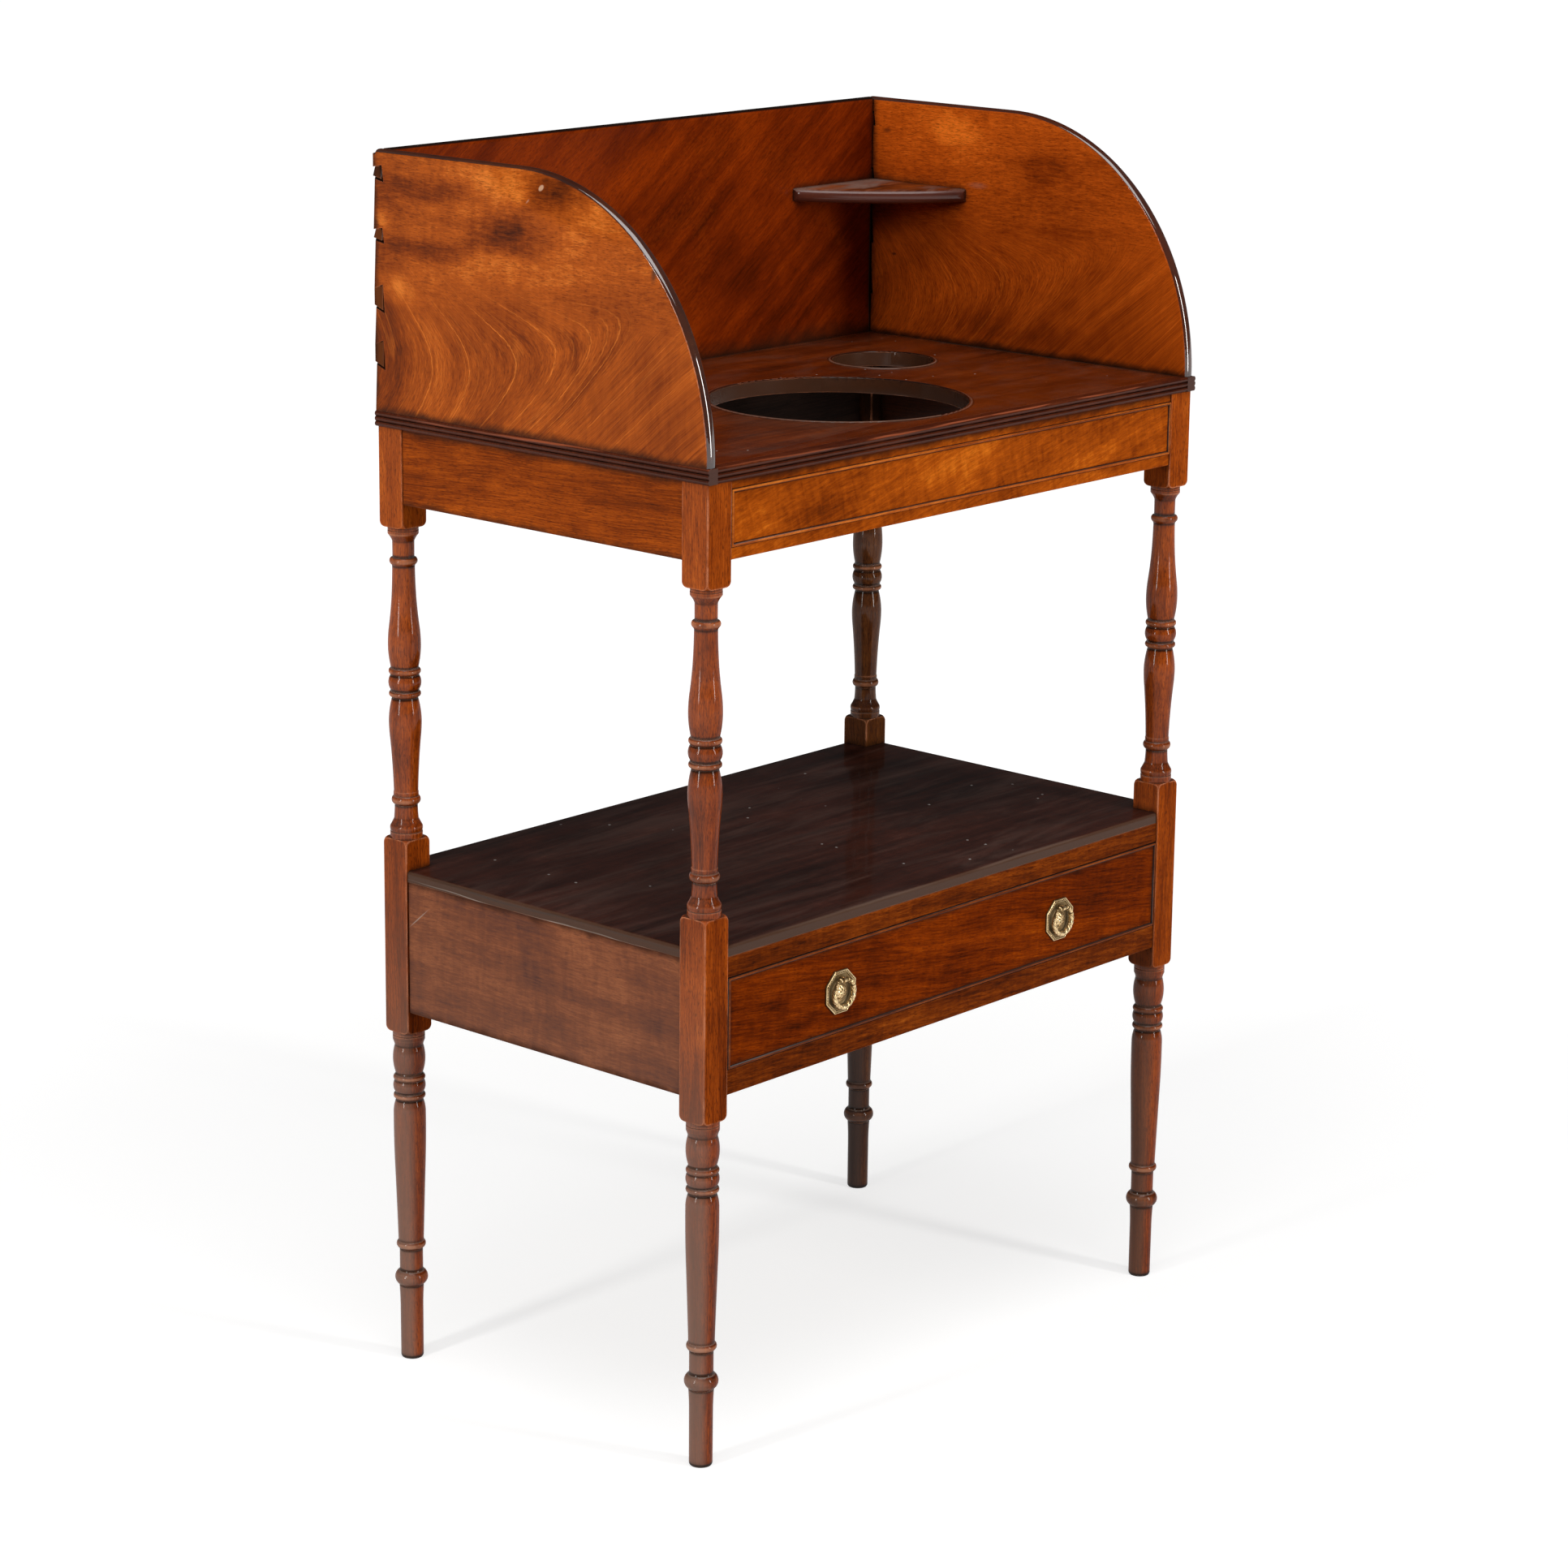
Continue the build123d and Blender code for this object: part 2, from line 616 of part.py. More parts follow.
def make_drawer():
    """A beaded front, dovetailed sides and back, and a bottom held in grooves."""
    face_y = front_y + rail_setback
    inside_y = face_y + drawer_front_thickness
    end_y = back_y - rail_setback - back_panel_thickness - drawer_back_gap
    back_inside_y = end_y - drawer_back_thickness
    side_top_z = drawer_high_z - drawer_top_relief
    bottom_low_z = drawer_low_z + drawer_bottom_lift
    bottom_high_z = bottom_low_z + drawer_bottom_thickness
    panel_x = drawer_x - drawer_side_thickness + drawer_groove_depth
    bottom = slab(-panel_x, panel_x, inside_y - drawer_groove_depth, end_y,
                  bottom_low_z, bottom_high_z)
    front = slab(-drawer_x, drawer_x, face_y, inside_y, drawer_low_z, drawer_high_z)
    back = slab(-drawer_x, drawer_x, back_inside_y, end_y, bottom_high_z, side_top_z)
    beads, rebate = bead_frame(-drawer_x, drawer_x, drawer_low_z, drawer_high_z, face_y)
    front -= rebate
    front -= bottom
    for side, name in ((-1, "left"), (1, "right")):
        x_outer = side * drawer_x
        x_inner = x_outer - side * drawer_side_thickness
        board = slab(x_outer, x_inner, inside_y, back_inside_y, drawer_low_z, side_top_z)
        tails = drawer_tails(side, inside_y, face_y + drawer_lap, bottom_high_z, side_top_z)
        for tail in tails:
            front -= tail
            board += tail
        for tail in drawer_tails(side, back_inside_y, end_y, bottom_high_z, side_top_z):
            back -= tail
            board += tail
        nodes["drawer_side_" + name] = board - bottom
        shank_end = inside_y + nut_thickness
        front -= rod_along_y(side * pull_x, face_y, shank_end, pull_z, boss_shank_hole_radius)
    nodes["drawer_front"] = front
    nodes["drawer_beads"] = Compound(beads)
    nodes["drawer_back"] = back
    nodes["drawer_bottom"] = bottom


def pull_plate(x, y_face, y_pivot, z_pivot):
    """An eight-sided plate with a raised border and the lug that the ring hangs from."""
    facing = Plane((x, y_face, pull_z), x_dir=(1, 0, 0), z_dir=(0, -1, 0))
    turn = 360 / plate_sides / 2
    outline = RegularPolygon(plate_across_flats / 2, plate_sides, major_radius=False, rotation=turn)
    plate = extrude(facing * outline, amount=plate_thickness)
    rim = plate.faces().sort_by(Axis.Y)[0].edges()
    plate = chamfer(rim, plate_edge_chamfer)
    inner_flat = plate_across_flats / 2 - plate_border
    field = RegularPolygon(inner_flat, plate_sides, major_radius=False, rotation=turn)
    sunk = facing.offset(plate_thickness - plate_sink)
    plate -= extrude(sunk * field, amount=plate_sink)
    half = lug_thickness / 2
    y_field = y_face - plate_thickness + plate_sink
    plate += slab(x - half, x + half, y_field, y_pivot, z_pivot - lug_radius, z_pivot + lug_radius)
    plate += rod_along_x(x - half, x + half, y_pivot, z_pivot, lug_radius)
    plate -= rod_along_x(x - half, x + half, y_pivot, z_pivot, hinge_pin_radius)
    plate -= rod_along_y(x, y_face, y_field, pull_z, boss_shank_radius)
    return plate


def pull_boss(x, y_face):
    """A domed boss, its threaded shank passing through the plate and the drawer front."""
    y_field = y_face - plate_thickness + plate_sink
    step = boss_height * boss_step_share
    rise = boss_height - step
    dome_radius = (boss_radius * boss_radius + rise * rise) / (2 * rise)
    half_way = asin(boss_radius / dome_radius) / 2
    crown_drop = dome_radius * (1 - cos(half_way))
    crown = (dome_radius * sin(half_way), 0, boss_height - crown_drop)
    dome = spun([
        Line((0, 0, 0), (boss_radius, 0, 0)),
        Line((boss_radius, 0, 0), (boss_radius, 0, step)),
        ThreePointArc((boss_radius, 0, step), crown, (0, 0, boss_height)),
        Line((0, 0, boss_height), (0, 0, 0)),
    ])
    shank_end = y_face + drawer_front_thickness + nut_thickness + shank_past_nut
    shank = rod_along_y(x, y_field, shank_end, pull_z, boss_shank_radius)
    return Pos(x, y_field, pull_z) * Rot(90, 0, 0) * dome + shank


def make_pull(side, name):
    """One ring pull: plate, boss with its shank and nut, hinge pin and hanging ring."""
    x = side * pull_x
    y_face = front_y + rail_setback
    y_pivot = y_face - ring_depth
    ring_z = pull_z - ring_below_plate_mid
    pin_reach = hinge_pin_length / 2
    z_pivot = ring_z + sqrt(ring_radius * ring_radius - pin_reach * pin_reach)
    slot = lug_thickness / 2 + lug_gap
    ring = Pos(x, y_pivot, ring_z) * Torus(ring_radius, ring_wire_radius, rotation=(90, 0, 0))
    ring -= slab(x - slot, x + slot, y_pivot - ring_wire_radius, y_pivot + ring_wire_radius,
                 ring_z, ring_z + ring_radius + ring_wire_radius)
    bore_reach = pin_reach + hinge_pin_play
    ring -= rod_along_x(x - bore_reach, x + bore_reach, y_pivot, z_pivot,
                        hinge_pin_radius + hinge_pin_play)
    y_nut = y_face + drawer_front_thickness
    flats = nut_across_flats / 2
    nut = slab(x - flats, x + flats, y_nut, y_nut + nut_thickness, pull_z - flats, pull_z + flats)
    nut -= rod_along_y(x, y_nut, y_nut + nut_thickness, pull_z, boss_shank_radius)
    nodes["pull_plate_" + name] = pull_plate(x, y_face, y_pivot, z_pivot)
    nodes["pull_boss_" + name] = pull_boss(x, y_face)
    nodes["pull_nut_" + name] = nut
    nodes["pull_pin_" + name] = rod_along_x(x - pin_reach, x + pin_reach, y_pivot, z_pivot,
                                            hinge_pin_radius)
    nodes["pull_ring_" + name] = ring


def make_posts():
    """The four posts, each cut with the mortises of the boards that meet it."""
    for (side, end), cuts in mortises.items():
        name = ("front" if end < 0 else "back") + ("_left" if side < 0 else "_right")
        member = Pos(side * post_x, post_ys[end], 0) * post()
        for cut in cuts:
            member -= cut
        nodes["post_" + name] = member


make_top()
make_gallery()
nodes["corner_shelf_left"] = corner_shelf(-1)
nodes["corner_shelf_right"] = corner_shelf(1)
make_frieze()
make_shelf()
make_case()
make_drawer()
make_pull(-1, "left")
make_pull(1, "right")
make_posts()

for name, shape in nodes.items():
    export_step(shape, "parts/" + name + ".step")
print(len(nodes), "nodes")
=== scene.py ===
import bpy
import bmesh
from math import acos, atan2, cos, hypot, pi, radians, sin, sqrt, tan, tau
from mathutils import Matrix, Vector
from mathutils.geometry import intersect_point_line


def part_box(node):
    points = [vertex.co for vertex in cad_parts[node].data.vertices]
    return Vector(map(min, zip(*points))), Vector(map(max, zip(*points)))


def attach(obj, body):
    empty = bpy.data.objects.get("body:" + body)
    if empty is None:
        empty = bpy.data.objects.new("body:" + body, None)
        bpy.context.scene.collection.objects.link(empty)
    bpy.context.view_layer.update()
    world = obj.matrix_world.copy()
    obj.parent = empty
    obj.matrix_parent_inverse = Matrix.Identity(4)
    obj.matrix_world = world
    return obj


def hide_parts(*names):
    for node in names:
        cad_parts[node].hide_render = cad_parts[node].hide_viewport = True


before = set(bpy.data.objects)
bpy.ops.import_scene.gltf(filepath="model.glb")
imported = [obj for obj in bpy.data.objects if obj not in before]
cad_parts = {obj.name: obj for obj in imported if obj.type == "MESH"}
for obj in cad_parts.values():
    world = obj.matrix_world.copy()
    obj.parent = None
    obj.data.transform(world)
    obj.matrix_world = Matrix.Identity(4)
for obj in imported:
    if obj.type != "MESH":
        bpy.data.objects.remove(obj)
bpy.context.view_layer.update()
print("frame loaded,", len(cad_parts), "nodes")


# node helpers

def addNode(tree, kind, inputs={}, **settings):
    node = tree.nodes.new(kind if "Node" in kind else "ShaderNode" + kind)
    for key, value in settings.items():
        setattr(node, key, value)
    for key, value in inputs.items():
        if isinstance(value, bpy.types.NodeSocket):
            tree.links.new(value, node.inputs[key])
        else:
            node.inputs[key].default_value = value
    return node


def calc(tree, operation, *values):
    return addNode(tree, "Math", dict(enumerate(values)), operation=operation).outputs[0]


def vectorCalc(tree, operation, *values, output=0):
    return addNode(tree, "VectorMath", dict(enumerate(values)), operation=operation).outputs[output]


def partAlong(tree, vector, unit):
    return vectorCalc(tree, "DOT_PRODUCT", vector, unit, output="Value")


def levels(tree, value, low, high, outLow=0.0, outHigh=1.0):
    inputs = {"Value": value, "From Min": low, "From Max": high, "To Min": outLow, "To Max": outHigh}
    return addNode(tree, "MapRange", inputs, interpolation_type="SMOOTHSTEP").outputs["Result"]


def drawnLine(tree, away, width, amount):
    return levels(tree, calc(tree, "ABSOLUTE", away), width, width * 0.3, 0.0, amount)


def mixColour(tree, share, first, second, blend="MIX"):
    node = addNode(tree, "Mix", data_type="RGBA", blend_type=blend)
    for socket, value in ((node.inputs[0], share), (node.inputs[6], first), (node.inputs[7], second)):
        if isinstance(value, bpy.types.NodeSocket):
            tree.links.new(value, socket)
        else:
            socket.default_value = (*value, 1.0) if isinstance(value, tuple) else value
    return node.outputs[2]


def colourRamp(tree, value, stops):
    ramp = addNode(tree, "ValToRGB", {"Fac": value})
    elements = ramp.color_ramp.elements
    while len(elements) < len(stops):
        elements.new(0.5)
    for element, (position, colour) in zip(elements, stops):
        element.position = position
        element.color = (*colour, 1.0)
    return ramp.outputs["Color"]


def grainNoise(tree, place, stretch, detail=3.0, rough=0.55, twist=0.0):
    scaled = vectorCalc(tree, "MULTIPLY", place, stretch)
    inputs = {"Vector": scaled, "Scale": 1.0, "Detail": detail, "Roughness": rough, "Distortion": twist}
    return addNode(tree, "TexNoise", inputs).outputs["Fac"]


def noiseColour(tree, place, scale, detail):
    return addNode(tree, "TexNoise", {"Vector": place, "Scale": scale, "Detail": detail}).outputs["Color"]


def spotAt(tree, place, centre, size, turn, soft):
    moved = addNode(tree, "Mapping", {"Vector": place, "Location": centre, "Scale": size,
                                      "Rotation": [radians(a) for a in turn]},
                    vector_type="TEXTURE").outputs[0]
    return levels(tree, vectorCalc(tree, "LENGTH", moved, output="Value"), 1.0, soft)


def newMaterial(name):
    material = bpy.data.materials.new(name)
    material.use_nodes = True
    material.node_tree.nodes.clear()
    return material, material.node_tree


def finishMaterial(tree, sockets):
    surface = addNode(tree, "BsdfPrincipled", sockets)
    addNode(tree, "OutputMaterial", {"Surface": surface.outputs[0]})


# mahogany

mahoganyLook = {
    "grain": "X",              # the axis that the grain runs along
    "lean": (0, 0, 0),         # degrees, turns the grain in the board
    "shift": (0, 0, 0),        # metres, another cut of the same timber
    "sway": 0.010, "swayScale": 8.0,
    "deep": (0.050, 0.010, 0.003), "body": (0.240, 0.042, 0.004),
    "bright": (0.480, 0.098, 0.009), "glow": (0.760, 0.200, 0.024),
    "shade": (1.0, 1.0, 1.0),  # multiplies the four colours
    "tone": 0.45,              # 0 is the deep colour, 1 the glow
    "cloud": 0.70, "cloudSize": 9.0,
    "stripe": 0.70, "stripeSize": (5, 70, 70),
    "fibre": 1.10, "fibreSize": (38, 430, 430),
    "curl": 0.30, "curlSize": (150, 40, 40),
    "pores": 0.45, "poreSize": (230, 1500, 1500), "poreReach": (0.50, 0.70),
    "flames": (), "flameDrift": 22.0, "flameSway": (0.0, 0.07, 0.035),
    "swirl": None, "veins": 0.0, "veinSize": (2.5, 32, 0), "veinWidth": 0.014, "veinLines": (),
    "lineWidth": 0.0009, "kinkScale": 260.0, "kink": 0.003,
    # painted reflection of the pale floor, low on the faces that look along -x
    "floorSheen": None, "floorSheenLow": 0.10, "floorSheenHigh": 0.55, "floorSheenColour": (0.26, 0.155, 0.115),
    # dirt and painted shade darkening the board near its joints
    "edges": (), "edgeGrimeAndShade": 0.75, "edgeGrimeAndShadeReach": 0.013, "edgeGrimeAndShadeColour": (0.035, 0.010, 0.004),
    "face": None,              # the axis that the board's face looks along
    "rim": 0.92, "rimReach": (0.985, 0.78), "rimColour": (0.032, 0.009, 0.006), "rimCoat": 0.75,
    "dust": 0.0, "dustColour": (0.17, 0.12, 0.10), "dustSize": (14, 22, 14),
    "specks": 0.0, "speckShare": (0.42, 0.50), "speckRadius": (0.060, 0.035),
    "speckColour": (0.45, 0.42, 0.40), "rings": (), "marks": (), "patchSize": 55,
    # dirt and painted shade from occlusion in corners and creases
    "grimeAndShade": 0.85, "grimeAndShadeReach": 0.008, "grimeAndShadeColour": (0.014, 0.007, 0.004),
    # rubbed edges, and on turned parts also the crests, which are wear and a painted highlight
    "wear": 0.6, "wearReach": 0.0011, "wearAndHighlightColour": (0.56, 0.19, 0.09),
    # on turned parts: painted shade where the turning is busy, painted light higher up (lift), crests
    # lighter for wear and a painted highlight
    "turned": False, "busyShade": 0.34, "lift": 0.0, "liftReach": (0.40, 0.72), "crestWearAndHighlight": 0.42,
    "ledge": 0.6, "ledgeColour": (0.22, 0.16, 0.13),
    "roughness": 0.42, "grimeAndShadeRoughness": 0.3, "fibreRoughness": 0.10,
    "specular": 0.04, "tint": (1.0, 0.5, 0.3),
    "coat": 0.05, "coatRoughness": 0.16, "coatIor": 1.5, "bump": 0.25, "bumpDepth": 0.0004,
}
grainTurns = {"X": (0, 0, 0), "Y": (0, 0, radians(-90)), "Z": (0, radians(90), 0)}


def boardPlace(tree, place, look):
    lean = [radians(a) for a in look["lean"]]
    leaned = addNode(tree, "Mapping", {"Vector": place, "Rotation": lean, "Location": look["shift"]})
    turned = addNode(tree, "Mapping", {"Vector": leaned.outputs[0], "Rotation": grainTurns[look["grain"]]})
    wander = noiseColour(tree, leaned.outputs[0], look["swayScale"], 2.0)
    sway = vectorCalc(tree, "SCALE", vectorCalc(tree, "SUBTRACT", wander, (0.5, 0.5, 0.5)))
    sway.node.inputs["Scale"].default_value = look["sway"]
    return vectorCalc(tree, "ADD", turned.outputs[0], sway), sway


def swirlPlace(tree, place, sway, swirl):
    # growth lines nested round a bent axis, as where a forked trunk is cut through
    moved = vectorCalc(tree, "ADD", place, sway)
    offset = vectorCalc(tree, "SUBTRACT", moved, (0, swirl["y"], swirl["z"]))
    a = radians(swirl["rise"])
    s = partAlong(tree, offset, (0, -cos(a), sin(a)))
    t = partAlong(tree, offset, (0, sin(a), cos(a)))
    x = partAlong(tree, offset, (1, 0, 0))
    t = calc(tree, "MULTIPLY_ADD", calc(tree, "MULTIPLY", s, s), -swirl["bend"], t)
    bow = calc(tree, "SQRT", calc(tree, "ADD", calc(tree, "MULTIPLY", t, t), swirl["round"] ** 2))
    bow = calc(tree, "MULTIPLY_ADD", t, swirl["skew"], bow)
    slope = levels(tree, s, swirl["from"], swirl["to"], swirl["open"], swirl["close"])
    f = calc(tree, "MULTIPLY", calc(tree, "MULTIPLY_ADD", bow, slope, s), swirl["scale"])
    return addNode(tree, "CombineXYZ", {"X": t, "Y": f, "Z": x}).outputs[0]


def grainTone(tree, board, look):
    stripe = grainNoise(tree, board, look["stripeSize"], detail=3.0, twist=0.3)
    fibre = grainNoise(tree, board, look["fibreSize"], detail=4.0, rough=0.68)
    pores = grainNoise(tree, board, look["poreSize"], detail=1.0)
    return stripe, fibre, pores


def swirledGrain(tree, place, sway, straight, look):
    # the straight grain gives way to the swirl below a ragged line
    swirl = look["swirl"]
    swirled = swirlPlace(tree, place, sway, swirl)
    above = partAlong(tree, place, (0, 0, 1))
    rough = grainNoise(tree, place, (swirl["raggedSize"],) * 3, detail=2.0)
    edge = calc(tree, "MULTIPLY_ADD", rough, swirl["ragged"], above)
    share = levels(tree, edge, swirl["low"], swirl["high"], 1.0, 0.0)
    mixed = [addNode(tree, "Mix", {0: share, 2: plain, 3: curved}, data_type="FLOAT").outputs[0]
             for plain, curved in zip(straight, grainTone(tree, swirled, look))]
    return mixed, swirled, share


def flameTone(tree, place, tone, look):
    if look["flames"]:
        drift = noiseColour(tree, place, look["flameDrift"], 3.0)
        sway = look["flameSway"]
        drift = vectorCalc(tree, "MULTIPLY_ADD", drift, sway, [-way / 2 for way in sway])
        licked = vectorCalc(tree, "ADD", place, drift)
    for flame in look["flames"]:
        spot = spotAt(tree, licked, flame["at"], flame["size"], flame["turn"], 0.0)
        tone = calc(tree, "MULTIPLY_ADD", spot, flame["strength"], tone)
    return tone


def veinShare(tree, place, veined, fibre, share, look):
    # fine light lines along the growth, some anywhere and some where the look names them
    kink = look["kink"]
    wander = noiseColour(tree, place, look["kinkScale"], 3.0)
    wander = vectorCalc(tree, "MULTIPLY_ADD", wander, (0.0, kink, 0.0), (0.0, -kink / 2, 0.0))
    kinked = vectorCalc(tree, "ADD", veined, wander)
    middle = calc(tree, "SUBTRACT", grainNoise(tree, kinked, look["veinSize"], detail=0.0), 0.50)
    vein = drawnLine(tree, middle, look["veinWidth"], look["veins"])
    across = partAlong(tree, kinked, (0, 1, 0))
    for line, amount in look["veinLines"]:
        drawn = drawnLine(tree, calc(tree, "SUBTRACT", across, line), look["lineWidth"], amount)
        vein = calc(tree, "MAXIMUM", vein, drawn)
    vein = calc(tree, "MULTIPLY", vein, levels(tree, fibre, 0.30, 0.56, 0.25, 1.0))
    return calc(tree, "MULTIPLY", vein, share)


def floorSheened(tree, place, facing, colour, look):
    # painted reflection of the pale floor, lying low on the faces that look along -x
    height = partAlong(tree, place, (0, 0, 1))
    cast = levels(tree, height, look["floorSheenLow"], look["floorSheenHigh"], look["floorSheen"], look["floorSheen"] * 0.15)
    cast = calc(tree, "MULTIPLY", cast, levels(tree, partAlong(tree, facing, (-1, 0, 0)), 0.10, 0.90))
    return mixColour(tree, cast, colour, look["floorSheenColour"])


def edgeGrimeAndShadeShare(tree, place, box, look):
    # how near a point is to the chosen sides of the board's own box, where the wood is darkened at the
    # joints for dirt and painted shade
    low, high = box
    reach = look["edgeGrimeAndShadeReach"]
    near = reach * 2
    for side in look["edges"]:
        axis = "xyz".index(side[0])
        along = partAlong(tree, place, [float(axis == i) for i in range(3)])
        gap = (along, low[axis]) if side[1] == "-" else (high[axis], along)
        near = calc(tree, "MINIMUM", calc(tree, "SUBTRACT", *gap), near)
    ragged = grainNoise(tree, place, (48, 48, 48), detail=4.0)
    near = calc(tree, "MULTIPLY_ADD", ragged, reach * 1.6, near)
    return levels(tree, near, reach * 0.7, reach * 1.9, look["edgeGrimeAndShade"], 0.0)


def dusted(tree, place, level, colour, look):
    if look["dust"]:
        lying = grainNoise(tree, place, look["dustSize"], detail=6.0, rough=0.65, twist=1.2)
        lying = levels(tree, lying, 0.42, 0.75, 0.0, look["dust"])
        lying = calc(tree, "MULTIPLY", lying, levels(tree, level, 0.5, 0.95))
        colour = mixColour(tree, lying, colour, look["dustColour"])
    if look["specks"]:
        cells = addNode(tree, "TexVoronoi", {"Vector": place, "Scale": look["specks"]})
        pick = partAlong(tree, cells.outputs["Color"], (1, 0, 0))
        fleck = calc(tree, "MULTIPLY", levels(tree, cells.outputs["Distance"], *look["speckRadius"]),
                     levels(tree, pick, *look["speckShare"], 0.0, 0.9))
        fleck = calc(tree, "MULTIPLY", fleck, levels(tree, level, 0.8, 0.95))
        colour = mixColour(tree, fleck, colour, look["speckColour"])
    return colour


def marked(tree, place, strayed, level, colour, look):
    for ring in look["rings"]:
        out = vectorCalc(tree, "MULTIPLY_ADD", place, (1, 1, 0), (-ring["at"][0], -ring["at"][1], 0))
        away = calc(tree, "SUBTRACT", vectorCalc(tree, "LENGTH", out, output="Value"), ring["radius"])
        drawn = drawnLine(tree, away, ring["width"], ring["amount"])
        drawn = calc(tree, "MULTIPLY", drawn, levels(tree, level, 0.2, 0.5))
        colour = mixColour(tree, drawn, colour, ring["colour"])
    for mark in look["marks"]:
        spot = spotAt(tree, strayed, mark["at"], mark["size"], mark["turn"], mark["soft"])
        colour = mixColour(tree, calc(tree, "MULTIPLY", spot, mark["strength"]), colour, mark["colour"])
    return colour


def figure(tree, place, look):
    # how light the wood is, with the grain that the later layers need again
    board, sway = boardPlace(tree, place, look)
    grains, veined, share = grainTone(tree, board, look), board, 1.0
    if look["swirl"]:
        grains, veined, share = swirledGrain(tree, place, sway, grains, look)
    stripe, fibre, pores = grains
    curl = grainNoise(tree, board, look["curlSize"], detail=2.0, twist=0.6)
    cut = vectorCalc(tree, "ADD", place, look["shift"])
    cloud = grainNoise(tree, cut, (look["cloudSize"],) * 3, detail=3.0, twist=0.8)
    tone = look["tone"] - 0.5 * (look["stripe"] + look["fibre"] + look["curl"] + look["cloud"])
    for value, amount in ((stripe, "stripe"), (fibre, "fibre"), (curl, "curl"), (cloud, "cloud")):
        tone = calc(tree, "MULTIPLY_ADD", value, look[amount], tone)
    tone = flameTone(tree, place, tone, look)
    dash = levels(tree, pores, *look["poreReach"], 0.0, look["pores"])
    return tone, fibre, dash, veined, share, vectorCalc(tree, "ADD", place, sway)


def turnedTone(tree, place, turning, tone, look):
    # painted shade where the turning is busy, and painted light that makes it lighter high up
    tone = calc(tree, "MULTIPLY_ADD", turning, -look["busyShade"], tone)
    height = partAlong(tree, place, (0, 0, 1))
    return calc(tree, "ADD", levels(tree, height, *look["liftReach"], 0.0, look["lift"]), tone)


def rimmed(tree, facing, level, colour, look):
    # the edges of a board are dark, and shine where they neither lie level nor look to the back
    axis = [float(look["face"] == letter) for letter in "XYZ"]
    flat = calc(tree, "ABSOLUTE", partAlong(tree, facing, axis))
    rim = levels(tree, flat, *look["rimReach"], 0.0, look["rim"])
    shiny = calc(tree, "MULTIPLY", rim, levels(tree, level, 0.70, 0.97, look["rimCoat"], 0.0))
    backwards = levels(tree, partAlong(tree, facing, (0, 1, 0)), 0.3, 0.9, 1.0, 0.0)
    coat = calc(tree, "ADD", calc(tree, "MULTIPLY", shiny, backwards), look["coat"])
    return mixColour(tree, rim, colour, look["rimColour"]), coat


def worn(tree, place, facing, hollow, colour, look):
    # dirt and painted shade darken corners, creases and the turning's hollows; edges are rubbed pale, and
    # turned crests get wear and a painted highlight
    patch = grainNoise(tree, place, (look["patchSize"],) * 3, detail=4.0)
    # painted shade: ambient occlusion darkens the colour in corners and creases, together with dirt
    shade = addNode(tree, "AmbientOcclusion", {"Distance": look["grimeAndShadeReach"]}, samples=6).outputs["AO"]
    grimeAndShade = levels(tree, shade, 0.95, 0.45, 0.0, look["grimeAndShade"])
    grimeAndShade = calc(tree, "MULTIPLY", grimeAndShade, levels(tree, patch, 0.25, 0.6, 0.45, 1.0))
    if look["turned"]:
        grimeAndShade = calc(tree, "MAXIMUM", grimeAndShade, levels(tree, hollow, 0.15, 0.75, 0.0, look["grimeAndShade"]))
        # wear and painted highlight: the crests of the turning are screened lighter
        crestWearAndHighlight = levels(tree, hollow, -0.25, -0.90, 0.0, look["crestWearAndHighlight"])
        crestWearAndHighlight = calc(tree, "MULTIPLY", crestWearAndHighlight, levels(tree, patch, 0.40, 0.62, 0.2, 1.0))
        colour = mixColour(tree, crestWearAndHighlight, colour, look["wearAndHighlightColour"], "SCREEN")
    eased = addNode(tree, "Bevel", {"Radius": look["wearReach"]}, samples=4).outputs["Normal"]
    wear = levels(tree, partAlong(tree, facing, eased), 0.985, 0.86, 0.0, look["wear"])
    wear = calc(tree, "MULTIPLY", wear, levels(tree, shade, 0.80, 0.96))
    wear = calc(tree, "MULTIPLY", wear, levels(tree, patch, 0.38, 0.62, 0.25, 1.0))
    colour = mixColour(tree, grimeAndShade, colour, look["grimeAndShadeColour"])
    return mixColour(tree, wear, colour, look["wearAndHighlightColour"]), grimeAndShade


